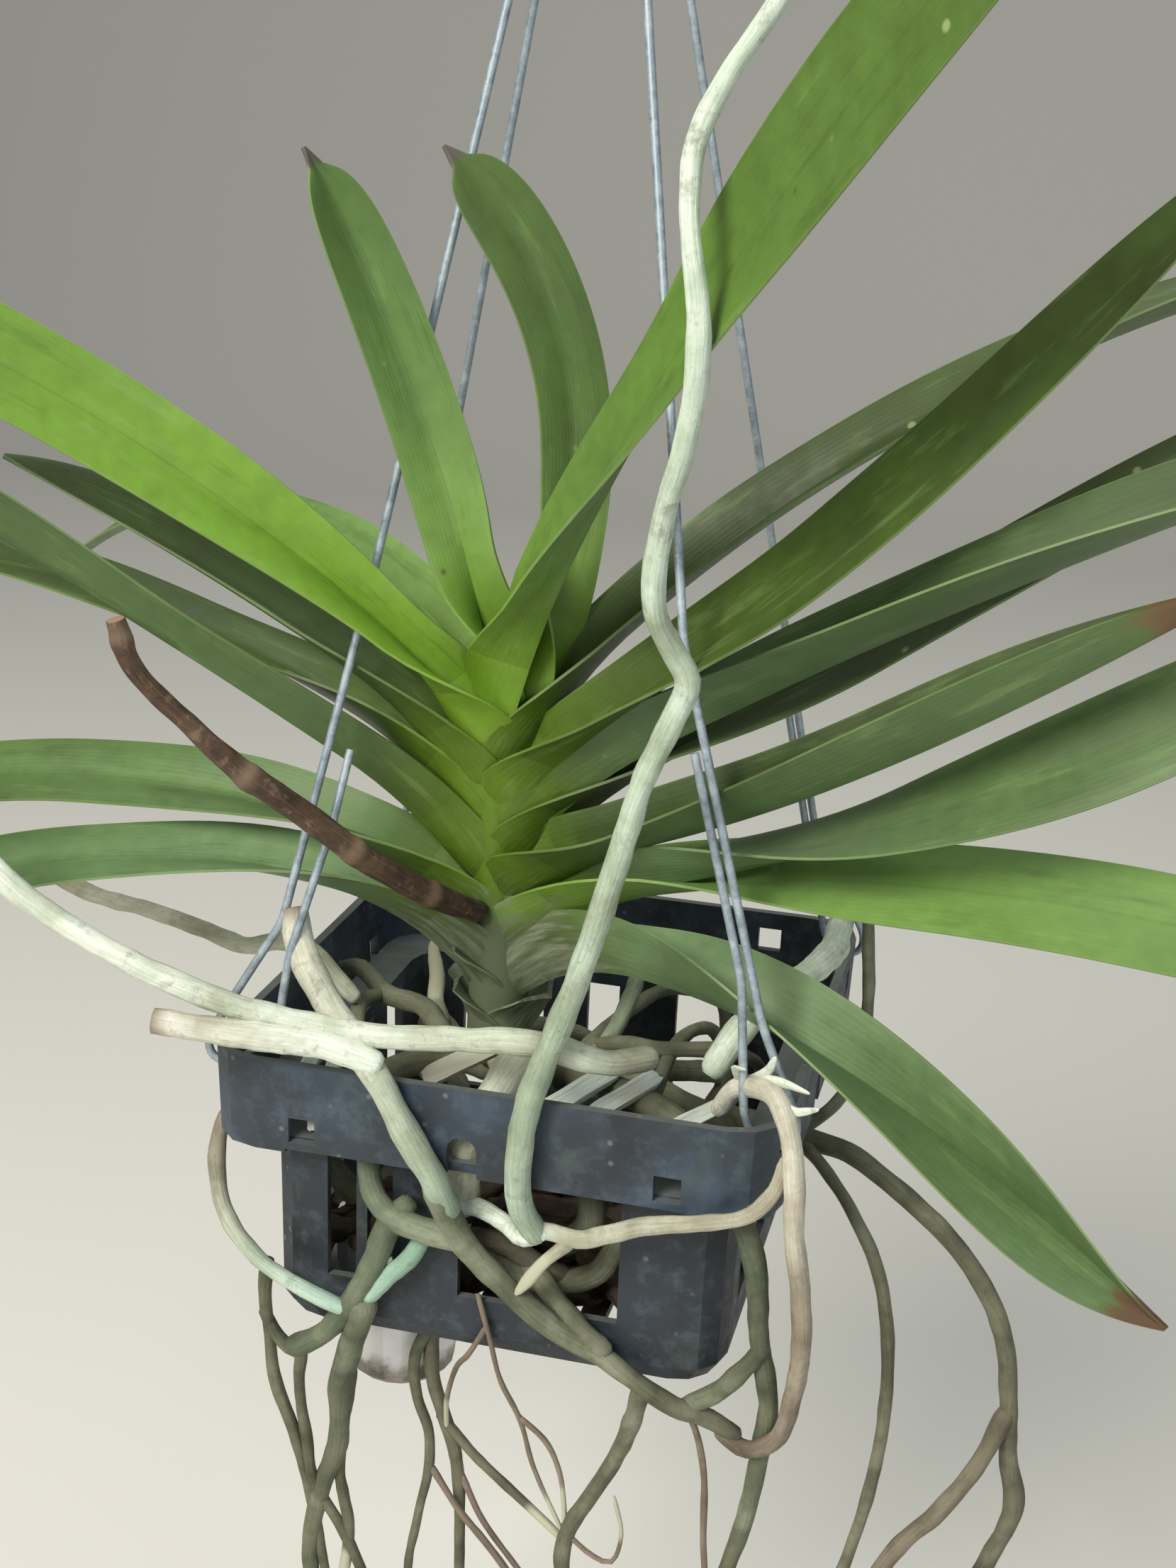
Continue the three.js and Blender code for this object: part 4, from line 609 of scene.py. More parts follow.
def root_piece(node, material):
    shell = Shell()
    for route in SYSTEMS[node]:
        thick, thin, points = ROUTES[route]
        kin = THREAD_ROOT if "thread" in route else FLAKE if "flake" in route else PLAIN_ROOT
        start, end, *ends = ROOT_LOOKS.get(route, kin)
        first, last = ends or ("round", "round")
        seed = sum(map(ord, route)) % 97
        centres = smooth_line(points, 2.2 if thick > 1.5 else 2.6)
        share = np.linspace(0, 1, len(centres))
        radii = lerp(thick, thin, share) * (1 + SWELL * wander(share * 40, seed, 2.2))
        flat = 0.55 if route.startswith("flat") else 1.0
        around = 16 if thick > 2.4 else 12
        skin, faces, marks = tube_skin(centres, radii, around, seed, flat, LUMPS, (first, last))
        share, long = marks["share"], marks["run"].max()
        tip = np.zeros(len(skin))
        if last == "point" and kin != FLAKE:
            tip = ease((share - (1 - 14 / max(long, 15))) / 0.03)
        if first == "point":
            tip = np.maximum(tip, 1 - ease(share * long / 10))
        core = np.zeros(len(skin))
        core[:around * 2] = 0.8 if first == "cut" else 0
        core[-around * 2:] = 0.8 if last == "cut" else 0
        shell.add(skin, faces, pale=lerp(start[0], end[0], share), pink=lerp(start[1], end[1], share),
                  wet=lerp(start[2], end[2], share**2), tip=tip, core=core, skin=marks["skin"])
    shell.piece(PIECE_NAMES.get(node, node + "_velamen"), material, (node,), slot_of(node))


def slot_of(node):
    return next(entry["material_slot"] for entry in frame["record"]["subparts"] if entry.get("node") == node)


# ---- basket, cup, hanger ----
def dress_node(name, material, bevel):
    """A CAD solid whose shape is right keeps its mesh and gets its material, with its edges eased."""
    node = frame["nodes"][name]
    node.data.materials.clear()
    node.data.materials.append(material)
    modifier = node.modifiers.new("eased edges", "BEVEL")
    modifier.width = bevel * 0.001
    modifier.segments = 2
    modifier.limit_method = "ANGLE"
    modifier.angle_limit = math.radians(38)
    modifier.harden_normals = True


def bar_piece(name, line, radius, around, material, stands_for):
    """A round bar along a line, cut square at both ends."""
    skin, faces, _ = tube_skin(line, np.full(len(line), radius), around, ends=("cut", "cut"))
    add_piece(name, skin, faces, material, stands_for)


WIRE, HOOK = 1.1, 1.6           # radii
# The back right wire where it leaves the collar and where it reaches the rim, then its way in through the
# eye of the skirt. The other three are mirrored.
WIRE_TOP = (1.9, 1.9, 347)
WIRE_RIM = np.array((76.8, 65, 0))
WIRE_EYE = [(77, 65, -3.6), (75.6, 65, -6), (73, 65, -6.9), (69, 65, -6.9), (66.6, 65.3, -5.2),
            (65, 66.2, -2)]
# Each wire: its sides, two points on its way down, and its doubled end, as points or as its height.
WIRES = {
    "front_left": dict(sx=-1, sy=-1, middle=(41.8, 39, 122), low=(57.5, 62, 33),
                       tail=[(59, 68.2, 1), (56, 68.2, 9), (54, 66, 26), (46, 58, 58), (44, 50.5, 76)]),
    "front_right": dict(sx=1, sy=-1, middle=(40.7, 58, 114.5), low=(66.3, 63.8, 24), top=88),
    "back_left": dict(sx=-1, sy=1, middle=(52.4, 45.4, 120), low=(63, 62, 33), top=84),
    "back_right": dict(sx=1, sy=1, middle=(43.9, 45.4, 120), low=(60, 62, 33), top=70),
}


def wire_route(wire):
    """Down from the collar to the rim, in through the eye, and doubled back up beside itself."""
    middle, low = np.array(wire["middle"]), np.array(wire["low"])

    def beside(z):
        return lerp(low, middle, (z - low[2]) / (middle[2] - low[2])) * (1, 1, 0) + (-2.8, 0.4, z)

    if "tail" in wire:
        back = wire["tail"]
    else:
        bent = np.array((63.8, 67, 2))
        back = [bent, lerp(bent, beside(34), 0.45), beside(34), beside(lerp(34, wire["top"], 0.5)),
                beside(wire["top"])]
    down = [(1.9, 1.9, 358), WIRE_TOP, middle, low, lerp(low, WIRE_RIM, 0.5), lerp(low, WIRE_RIM, 0.82),
            WIRE_RIM]
    return [np.array(point) * (wire["sx"], wire["sy"], 1.0) for point in down + WIRE_EYE + back]


def rounded_corners(route, step):
    """The straight-sided route with its corners eased, in short steps."""
    line = []
    for a, b in zip(route, route[1:]):
        count = max(2, round(np.linalg.norm(b - a) / step))
        line += [a + (b - a) * i / count for i in range(count)]
    line = np.array(line + [route[-1]])
    for _ in range(3):
        line[1:-1] = 0.25 * line[:-2] + 0.5 * line[1:-1] + 0.25 * line[2:]
    return line


def hook_piece(material):
    bend, centre, collar_top = 12, 388, 364
    turned = np.radians(-10 + 30.0 * np.arange(8))
    arc = [(bend * math.cos(a), 0, centre + bend * math.sin(a)) for a in turned]
    route = [(0, 0, collar_top - 3.6), (0, 0, collar_top + 2), (3, 0, collar_top + 9)] + arc
    bar_piece("bent_hook", smooth_line(route, 0.9), HOOK, 20, material, ("hanger_hook",))


def collar_piece(material):
    """Crimped sleeve: six flats pressed into a short tube, flared at both mouths."""
    low, high, radius = 346, 364, 5.4
    around, levels = 48, 16
    turn = np.linspace(0, 2 * math.pi, around, endpoint=False)
    outline = []
    for t in np.linspace(0, 1, levels):
        pressed = math.exp(-(((t - 0.5) / 0.26) ** 4))
        flats = radius * (1 - 0.11 * pressed * (0.5 + 0.5 * np.cos(6 * turn)))
        outline.append((t, flats - (0.5 if t in (0, 1) else 0)))
    outline += [(1.0, 2.6), (0.8, 2.4)]
    rings = [np.stack([r * np.cos(turn), r * np.sin(turn), np.full(around, lerp(low, high, t))], 1)
             for t, r in outline]
    add_piece("crimped_collar", np.concatenate(rings), ring_faces(len(rings), around), material,
              ("hanger_collar",))


# ---- old flower spike ----
SPIKE = [
    (-81.5, -100.5, 116), (-79, -98.5, 106), (-67, -91, 90), (-57.5, -85.5, 79), (-54, -83.5, 76),
    (-50, -80, 72), (-37, -68, 57), (-32, -62, 51), (-25, -51, 42), (-19, -40, 35), (-15, -31, 30),
]
SPIKE_CUT, SPIKE_FULL = 2.2, 3.2        # radius at its cut end, and 70 further on
SPIKE_JOINTS = np.array([3.5, 47, 80, 108]) / 128       # shares of its length


def spike_piece(material):
    """Dry stalk, thinner towards its cut end, with a swollen joint and a papery scar every few cm."""
    line = smooth_line(SPIKE, 1.2)
    run = run_along(line)
    radii = lerp(SPIKE_CUT, SPIKE_FULL, ease(run / 70)) + 0.25 * wander(run, 5, 14)
    scar = np.zeros(len(line))
    for joint in SPIKE_JOINTS * run[-1]:
        radii = radii + 0.5 * np.exp(-(((run - joint) / 2.4) ** 2))
        scar = np.maximum(scar, np.exp(-(((run - joint + 1.5) / 2.2) ** 2)))
    skin, faces, marks = tube_skin(line, radii, 20, 5, lumps=0.12, ends=("cut", "round"))
    core = np.zeros(len(skin))
    core[:20] = 1
    add_piece("dry_cut_flower_spike", skin, faces, material, ("spike",),
              dict(core=core, paper=np.interp(marks["run"], run, scar), skin=marks["skin"]))


# ---- bark bed and pale sticks ----
TORN = 0.16                     # how rough the broken faces of bark are


def chip(shell, centre, size, turn, seed, cuts):
    """A broken chunk: a box cut into small faces, its corners knocked off and its faces torn."""
    grid = np.linspace(-1, 1, cuts + 1)
    index = {}
    points, faces = [], []
    for axis in range(3):
        for sign in (-1, 1):
            for a in range(cuts):
                for b in range(cuts):
                    corners = []
                    for u, v in ((a, b), (a + 1, b), (a + 1, b + 1), (a, b + 1)):
                        p = np.zeros(3)
                        p[axis], p[(axis + 1) % 3], p[(axis + 2) % 3] = sign, grid[u], grid[v]
                        key = tuple(np.round(p, 5))
                        if key not in index:
                            index[key] = len(points)
                            points.append(p)
                        corners.append(index[key])
                    faces.append(corners[::sign])
    p = np.array(points)
    length = np.linalg.norm(p, axis=1, keepdims=True)
    p = p * (1 - 0.22 * (length - 1) / 0.732)
    bumps = [noise.noise(Vector(q * 1.1) + Vector((seed * 3.7, seed * 1.9, 0))) for q in p]
    torn = [noise.noise(Vector((q[0] * 0.8, q[1] * 4, q[2] * 4)) + Vector((0, seed * 5.1, 2))) for q in p]
    p = p * (1 + TORN * 1.5 * np.array(bumps) + TORN * np.array(torn))[:, None]
    p = p * np.array(size) / 2
    turn_x, turn_y, turn_z = (Matrix.Rotation(angle, 3, axis) for angle, axis in zip(turn, "XYZ"))
    shell.add(p @ np.array(turn_z @ turn_y @ turn_x).T + np.array(centre), faces, grain=p, seed=float(seed))


def bark_piece(material):
    shell = Shell()
    rng = np.random.default_rng(7)

    def broken(centre, long, wide, thick, seed, cuts):
        size = (rng.uniform(*long), rng.uniform(*wide), rng.uniform(*thick))
        turn = (rng.uniform(-0.3, 0.3), rng.uniform(-0.3, 0.3), rng.uniform(0, 6.3))
        chip(shell, centre, size, turn, seed, cuts)

    for i in range(110):
        x, y = rng.uniform(-44, 49, 2)
        if math.hypot(x - CUP["x"], y - CUP["y"]) >= 26:
            z = BARK_LOW + 4.2 * (i % 3) + rng.uniform(-1, 1)
            broken((x, y, z), (11, 20), (8, 14), (4, 7), i, 4)
    for i in range(34):
        # Smaller pieces are heaped over the mouth of the cup, highest in the middle.
        out, turned = 19.5 * math.sqrt((i + 0.5) / 34), 2.4 * i
        x, y = CUP["x"] + out * math.cos(turned), CUP["y"] + out * math.sin(turned)
        broken((x, y, CUP["top"] + 2.6 - out / 6), (7, 11), (5, 8), (3, 5), 200 + i, 3)
    shell.piece("pine_bark_bed", material, ("bark",), "bark_wood")


# Each stick: its two ends, width, thickness, and how freshly split it is.
STICKS = [
    ((11, -67, -9), (26, -39, -5), 5, 3, 0.1),
    ((24, -61, -9), (37, -40, -5), 4.5, 3, 0.1),
    ((-57, -66, -21), (-50, -49, -1), 4, 2.6, 0.1),
    ((-20, -60, -6), (-1, -41, 1), 5, 4, 0.65),
    ((36, -63, -15), (56, -38, -10), 4, 3, 0.1),
    ((-47, -68, -21), (-45, -49, 0), 3.6, 2.4, 0.1),
]
LATH_OUTLINE = [(-0.5, -0.5), (-0.2, -0.56), (0.2, -0.52), (0.5, -0.5), (0.54, 0), (0.5, 0.5), (0.15, 0.58),
                (-0.2, 0.5), (-0.5, 0.48), (-0.54, 0)]


def stick_piece(number, stick, material):
    """A split lath: flat along the grain, its two ends broken off at a slant."""
    low, high, width, thick, fresh = stick
    low, high = np.array(low, float), np.array(high, float)
    along = unit(high - low)
    stood = Vector((0, 0, 1)).rotation_difference(Vector(along)).to_matrix()
    across, up = np.array(stood.col[0]), np.array(stood.col[1])
    length = np.linalg.norm(high - low)
    rings = 15
    points = []
    for t in np.linspace(0, 1, rings):
        narrow = 1 - 0.35 * max(0, (abs(t - 0.5) - 0.42) / 0.08)
        outward = np.sign(t - 0.5) if abs(t - 0.5) > 0.46 else 0
        for k, (a, b) in enumerate(LATH_OUTLINE):
            fray = 1.2 * noise.noise(Vector((k * 1.7, number * 3.3, 0))) * outward
            rough = 1 + 0.10 * noise.noise(Vector((t * 3, k * 2.1, number * 5.0)))
            points.append(low + along * (t * length + fray) + across * a * width * narrow * rough
                          + up * b * thick * narrow * rough)
    points = np.array(points)
    local = points - low
    grain = np.stack([local @ along, local @ across, local @ up], 1)
    add_piece(f"split_stick_{number}", points, ring_faces(rings, len(LATH_OUTLINE)), material,
              (f"stick_{number}",), dict(grain=grain, fresh=np.full(len(points), fresh)))


# ---- finishes ----
PER_MM = 1000.0                 # texture scales are cells per metre: 1 cell per millimetre is 1000

# A kind of node: its type, the sockets that its inputs go to in turn, the output it gives, and its settings.
PLUS = ("ShaderNodeMath", (0, 1), 0, dict(operation="ADD"))
TIMES = ("ShaderNodeMath", (0, 1), 0, dict(operation="MULTIPLY"))
SIZE_OF = ("ShaderNodeMath", (0,), 0, dict(operation="ABSOLUTE"))
WAVE = ("ShaderNodeMath", (0,), 0, dict(operation="SINE"))
FRACTION = ("ShaderNodeMath", (0,), 0, dict(operation="FRACT"))
RANGE = ("ShaderNodeMapRange", (0, 1, 2, 3, 4), 0, {})
EASED = ("ShaderNodeMapRange", (0, 1, 2, 3, 4), 0, dict(interpolation_type="SMOOTHSTEP"))
MIX = ("ShaderNodeMix", (0, 6, 7), 2, dict(data_type="RGBA"))
SHADE = ("ShaderNodeMix", (0, 6, 7), 2, dict(data_type="RGBA", blend_type="MULTIPLY"))
RAMP = ("ShaderNodeValToRGB", (0,), 0, {})
GREY = ("ShaderNodeCombineColor", (0, 1, 2), 0, {})
NOISE = ("ShaderNodeTexNoise", ("Vector", "Scale", "Detail", "Roughness", "Distortion"), 0, {})
CELLS = ("ShaderNodeTexVoronoi", ("Vector", "Scale"), 0, {})
PLACE = ("ShaderNodeTexCoord", (), 3, {})
FACING = ("ShaderNodeNewGeometry", (), 1, {})
MARK = ("ShaderNodeAttribute", (), 2, {})
VECTOR_MARK = ("ShaderNodeAttribute", (), 1, {})
UPWARD = ("ShaderNodeSeparateXYZ", (0,), 2, {})
JOIN = ("ShaderNodeCombineXYZ", (0, 1, 2), 0, {})
STRETCH = ("ShaderNodeMapping", ("Vector", "Scale"), 0, {})
BUMP = ("ShaderNodeBump", ("Strength", "Distance", "Height"), 0, {})
SURFACE = ("ShaderNodeBsdfPrincipled", ("Base Color", "Roughness", "Normal"), 0, {})
OUTPUT = ("ShaderNodeOutputMaterial", ("Surface",), None, {})


def linear(hex_colour):
    """An sRGB hex colour as linear red, green, blue and alpha."""
    channels = [int(hex_colour[i:i + 2], 16) / 255 for i in (1, 3, 5)]
    return tuple(c / 12.92 if c <= 0.04045 else ((c + 0.055) / 1.055) ** 2.4 for c in channels) + (1.0,)


class Finish:
    """One material and its tree of nodes."""

    def __init__(self, name):
        self.material = bpy.data.materials.new(name)
        self.material.use_nodes = True
        self.tree = self.material.node_tree
        self.tree.nodes.clear()

    def add(self, kind, *inputs, stops=(), more=None, **settings):
        """One node with its settings. Each input is a value, a hex colour or another node's output."""
        type_name, sockets, output, usual = kind
        node = self.tree.nodes.new(type_name)
        for setting, value in (usual | settings).items():
            setattr(node, setting, value)
        if stops:
            elements = node.color_ramp.elements
            while len(elements) < len(stops):
                elements.new(0.5)
            for element, (position, colour) in zip(elements, stops):
                element.position = position
                element.color = linear(colour)
        for socket, source in [*zip(sockets, inputs), *(more or {}).items()]:
            if isinstance(source, bpy.types.NodeSocket):
                self.tree.links.new(source, node.inputs[socket])
            else:
                node.inputs[socket].default_value = linear(source) if isinstance(source, str) else source
        return None if output is None else node.outputs[output]


def strap_leaf_cuticle():
    """Living strap leaf: a thick waxy skin over parallel veins. Satin, not glossy; the lower face is duller
    and bluer, the crease is darkened with painted shade, the bases are brightened with painted light, the
    margins are thin pale lines, and the oldest tips are scorched. Where the leaf bases clasp the foot of the
    stem the same skin has dried to a grey-brown fibrous husk."""
    finish = Finish("waxy_leaf_cuticle")
    add = finish.add
    place = add(PLACE)
    across, run, top, young, cool, dry, husk, seed = (
        add(MARK, attribute_name=name)
        for name in ("across", "run", "top", "young", "cool", "dry", "husk", "seed"))
    far = add(SIZE_OF, across)
    clouds = add(NOISE, place, PER_MM / 26, 3.0, 0.55)
    mottle = add(NOISE, place, PER_MM / 5, 4.0, 0.6)
    # From old olive through mature green to the yellow-green of new growth; on the leaves that lie in shade
    # the darker greens are painted shade, and on right_9 the lighter ones are painted light.
    age_and_light = add(PLUS, young, add(RANGE, clouds, 0.3, 0.7, -0.10, 0.10))
    upper = add(RAMP, age_and_light, stops=[
        (0.0, "#2b380c"), (0.25, "#3f5616"), (0.5, "#4f6e22"), (0.75, "#5f8429"), (1.0, "#6f972f")])
    bloom = add(MIX, cool, upper, "#67845a")
    under = add(MIX, add(EASED, run, 24.0, 70.0), upper, add(MIX, 0.5, bloom, "#506c40"))
    body = add(MIX, top, under, bloom)
    # Young leaf bases are yellower where light comes through the fold.
    glow = add(TIMES, add(EASED, run, 8.0, 95.0, 0.5, 0.0), young)
    body = add(MIX, glow, body, "#7ba024")
    # Painted light: every leaf base is made a brighter green near the stem, as if lit through its fold, less
    # where it has dried to husk.
    painted_base_glow = add(TIMES, add(EASED, run, 10.0, 46.0, 0.42, 0.0), add(RANGE, husk, 0.2, 0.8, 1.0, 0.2))
    body = add(MIX, painted_base_glow, body, "#6c9220")
    # The bluer leaves carry a pale waxy bloom where they leave the stem.
    waxed = add(TIMES, add(EASED, run, 45.0, 150.0, 0.42, 0.0), add(RANGE, run, 24.0, 44.0))
    body = add(MIX, add(TIMES, waxed, cool), body, "#9fbd98")
    # Long pale smears of lime scale and rubbed wax, drawn out along the leaf.
    along = add(JOIN, add(TIMES, run, 1 / 34), add(TIMES, across, 2.6), seed)
    smears = add(NOISE, along, 1.0, 5.0, 0.62)
    body = add(MIX, add(RANGE, smears, 0.56, 0.72, 0.0, 0.30), body, "#84a063")
    body = add(MIX, add(RANGE, smears, 0.30, 0.44, 0.35, 0.0), body, "#33481a")
    shade = add(RANGE, mottle, 0.3, 0.7, 0.90, 1.08)
    body = add(SHADE, 1.0, body, add(GREY, shade, shade, shade))
    # Veins run the length of the leaf about 1.2 mm apart, only just seen.
    vein = add(WAVE, add(TIMES, across, 62.0))
    body = add(MIX, add(RANGE, vein, -1.0, 1.0, 0.0, 0.02), body, "#9dbb5c")
    # Painted shade: a darker line down the crease in the middle of the leaf.
    body = add(MIX, add(EASED, far, 0.010, 0.05, 0.16, 0.0), body, "#35501f")
    margin = add(TIMES, add(EASED, far, 0.982, 1.0, 0.0, 0.24), add(RANGE, run, 30.0, 110.0, 0.25, 1.0))
    body = add(MIX, margin, body, "#a3ba78")
    # Old scars: sparse pale flecks and small brown pits.
    flecks = add(CELLS, place, PER_MM / 23)
    body = add(MIX, add(RANGE, flecks, 0.03, 0.06, 0.5, 0.0), body, "#a9bd83")
    pits = add(CELLS, place, PER_MM / 31)
    body = add(MIX, add(RANGE, pits, 0.015, 0.032, 0.7, 0.0), body, "#54482a")
    # Tips that have dried back: brown on old leaves, greyer on the others.
    drying = add(PLUS, dry, add(RANGE, smears, 0.3, 0.7, -0.45, 0.45))
    scorch = add(RAMP, drying, stops=[
        (0.0, "#4b5c26"), (0.35, "#52542a"), (0.6, "#5a4d2c"), (0.85, "#5a4227"), (1.0, "#55412f")])
    scorch = add(MIX, add(RANGE, young, 0.21, 0.23), scorch, "#514d46")
    scorched = add(TIMES, add(RANGE, drying, 0.0, 0.6), add(RANGE, dry, 0.0, 0.15))
    body = add(MIX, scorched, body, scorch)
    # The oldest bases: greyer and rougher, with torn fibres.
    fibres = add(JOIN, add(TIMES, run, 1 / 9), add(TIMES, across, 9.0), seed)
    torn = add(NOISE, fibres, 1.0, 5.0, 0.65)
    husked = add(EASED, add(PLUS, husk, add(RANGE, torn, 0.3, 0.7, -0.2, 0.2)), 0.34, 0.76)
    fibrous = add(RAMP, torn, stops=[(0.3, "#444a37"), (0.5, "#616a50"), (0.72, "#808a6e")])
    body = add(MIX, husked, body, fibrous)
    rough = add(PLUS, add(RANGE, mottle, 0.3, 0.7, 0.46, 0.62), add(TIMES, husked, 0.3))
    relief = add(PLUS, add(PLUS, add(TIMES, vein, 0.14), mottle), add(TIMES, torn, husked))
    normal = add(BUMP, 0.14, 0.0005, relief)
    coat = {"IOR": 1.45, "Coat Weight": 0.05, "Coat Roughness": 0.4}
    add(OUTPUT, add(SURFACE, body, rough, normal, more=coat))
    return finish.material


def velamen():
    """Spongy skin of an aerial root: matt, silver-cream where dry, grey-green where algae grow, pinkish brown
    with age and blue-green where wet, with fine lengthwise wrinkles and darker rubbed patches."""
    finish = Finish("aerial_root_velamen")
    add = finish.add
    place = add(PLACE)
    skin = add(VECTOR_MARK, attribute_name="skin")
    pale, pink, wet, tip, core = (
        add(MARK, attribute_name=name) for name in ("pale", "pink", "wet", "tip", "core"))
    clouds = add(NOISE, place, PER_MM / 14, 4.0, 0.6)
    grit = add(NOISE, place, PER_MM / 1.6, 4.0, 0.7)
    patches = add(NOISE, place, PER_MM / 7, 5.0, 0.7)
    wrinkle = add(NOISE, add(STRETCH, skin, (0.05, 0.9, 0.9)), 1.6, 4.0, 0.65)
    paler = add(PLUS, pale, add(RANGE, clouds, 0.3, 0.7, -0.22, 0.22))
    body = add(RAMP, paler, stops=[
        (0.0, "#3f4434"), (0.3, "#686e58"), (0.6, "#9aa189"), (0.85, "#c1ceba"), (1.0, "#dae4d6")])
    aged = add(RAMP, paler, stops=[(0.0, "#55493e"), (0.4, "#877668"), (0.8, "#bfae9f"), (1.0, "#dccfc1")])
    body = add(MIX, pink, body, aged)
    body = add(MIX, add(TIMES, wet, 0.8), body, "#86b9a4")
    streak = add(RANGE, wrinkle, 0.32, 0.68, 0.80, 1.12)
    body = add(SHADE, 1.0, body, add(GREY, streak, streak, streak))
    body = add(MIX, add(RANGE, patches, 0.54, 0.70, 0.0, 0.6), body, "#625c48")
    body = add(MIX, add(RANGE, grit, 0.62, 0.75, 0.0, 0.5), body, "#4c4a38")
    body = add(MIX, tip, body, "#b6b79f")
    body = add(MIX, core, body, "#7a6753")
    rough = add(RANGE, wet, 0.0, 1.0, 0.86, 0.55)
    normal = add(BUMP, 0.45, 0.0007, add(PLUS, wrinkle, add(TIMES, grit, 0.35)))
    add(OUTPUT, add(SURFACE, body, rough, normal, more={"IOR": 1.4}))
    return finish.material


def moulded_polypropylene():
    """Injection-moulded basket: charcoal, satin where wiped, with dust, lime scale and a film of algae."""
    finish = Finish("moulded_black_polypropylene")
    add = finish.add
    place = add(PLACE)
    clouds = add(NOISE, place, PER_MM / 24, 5.0, 0.6)
    dusty = add(NOISE, place, PER_MM / 6, 6.0, 0.7)
    grain = add(NOISE, place, PER_MM / 0.9, 3.0)
    algae = add(NOISE, place, PER_MM / 17, 5.0, 0.66, 0.6)
    lime = add(CELLS, place, PER_MM / 8)
    height = add(UPWARD, place)
    facing_up = add(UPWARD, add(FACING))
    body = add(RAMP, clouds, stops=[(0.3, "#20252a"), (0.5, "#2d3843"), (0.72, "#3e4e5e")])
    # Painted shade: the walls are darkened below the skirt's lower edge, standing for the skirt's shadow.
    skirt_shadow_edge = -0.001 * (BEARING + SKIRT)
    body = add(MIX, add(RANGE, height, skirt_shadow_edge - 0.005, skirt_shadow_edge, 0.72, 0.0), body, "#1b1f24")
    for source, low, high, least, most, colour in (
        (dusty, 0.50, 0.74, 0.0, 0.40, "#5e686f"),
        (algae, 0.56, 0.70, 0.0, 0.5, "#4a5a4c"),
        (facing_up, 0.35, 0.95, 0.0, 0.45, "#7b7f78"),
        (lime, 0.05, 0.12, 0.28, 0.0, "#9aa0a2"),
    ):
        body = add(MIX, add(RANGE, source, low, high, least, most), body, colour)
    rough = add(RANGE, dusty, 0.35, 0.7, 0.42, 0.78)
    normal = add(BUMP, 0.25, 0.0004, add(PLUS, grain, dusty))
    add(OUTPUT, add(SURFACE, body, rough, normal, more={"IOR": 1.49}))
    return finish.material


def moulded_polystyrene():
    """White moulded cup: smooth and slightly glossy, with a tide mark of brown dirt round its foot."""
    finish = Finish("moulded_white_polystyrene")
    add = finish.add
    place = add(PLACE)
    clouds = add(NOISE, place, PER_MM / 9, 5.0, 0.65)
    tide = add(PLUS, add(UPWARD, place), add(RANGE, clouds, 0.3, 0.7, -0.004, 0.004))
    tide_low, tide_high = -0.505, -0.497
    body = add(MIX, add(EASED, tide, tide_low, tide_high, 0.95, 0.02), "#fafaf8", "#776b5a")
    body = add(MIX, add(RANGE, clouds, 0.54, 0.74, 0.0, 0.25), body, "#b9b6a4")
    rough = add(RANGE, clouds, 0.3, 0.7, 0.32, 0.55)
    normal = add(BUMP, 0.1, 0.0003, clouds)
    add(OUTPUT, add(SURFACE, body, rough, normal, more={"IOR": 1.55}))
    return finish.material


def weathered_zinc():
    """Galvanised steel wire left outdoors: dull blue-grey zinc with chalky white bloom and darker rubs."""
    finish = Finish("galvanised_steel_weathered")
    add = finish.add
    place = add(PLACE)
    clouds = add(NOISE, place, PER_MM / 5, 5.0, 0.7)
    fine = add(NOISE, place, PER_MM / 0.8, 3.0)
    body = add(RAMP, clouds, stops=[(0.3, "#727e87"), (0.5, "#92a0a9"), (0.7, "#b4bfc5")])
    body = add(MIX, add(RANGE, fine, 0.55, 0.75, 0.0, 0.45), body, "#c3c8cc")
    rough = add(RANGE, clouds, 0.3, 0.7, 0.42, 0.68)
    normal = add(BUMP, 0.3, 0.0002, fine)
    add(OUTPUT, add(SURFACE, body, rough, normal, more={"Metallic": 0.4}))
    return finish.material


def dry_stalk():
    """Dead flower stalk: brown, ridged along its length, papery and paler on its joint scales."""
    finish = Finish("dry_flower_stalk")
    add = finish.add
    place = add(PLACE)
    skin = add(VECTOR_MARK, attribute_name="skin")
    core = add(MARK, attribute_name="core")
    paper = add(MARK, attribute_name="paper")
    clouds = add(NOISE, place, PER_MM / 8, 5.0, 0.6)
    lifted = add(NOISE, place, PER_MM / 3.2, 5.0, 0.7)
    ridges = add(NOISE, add(STRETCH, skin, (0.04, 1.0, 1.0)), 1.5, 4.0, 0.6)
    body = add(RAMP, clouds, stops=[(0.3, "#2f2319"), (0.5, "#443224"), (0.72, "#5f4c3a")])
    body = add(MIX, add(RANGE, ridges, 0.5, 0.75, 0.0, 0.5), body, "#7d6552")
    body = add(MIX, add(RANGE, lifted, 0.56, 0.66, 0.0, 0.28), body, "#9a8470")
    body = add(MIX, add(RANGE, lifted, 0.34, 0.44, 0.5, 0.0), body, "#231a12")
    body = add(MIX, add(TIMES, paper, 0.5), body, "#86725d")
    body = add(MIX, core, body, "#8d7459")
    rough = add(RANGE, clouds, 0.3, 0.7, 0.6, 0.85)
    normal = add(BUMP, 0.5, 0.0006, ridges)
    add(OUTPUT, add(SURFACE, body, rough, normal, more={"IOR": 1.45}))
    return finish.material


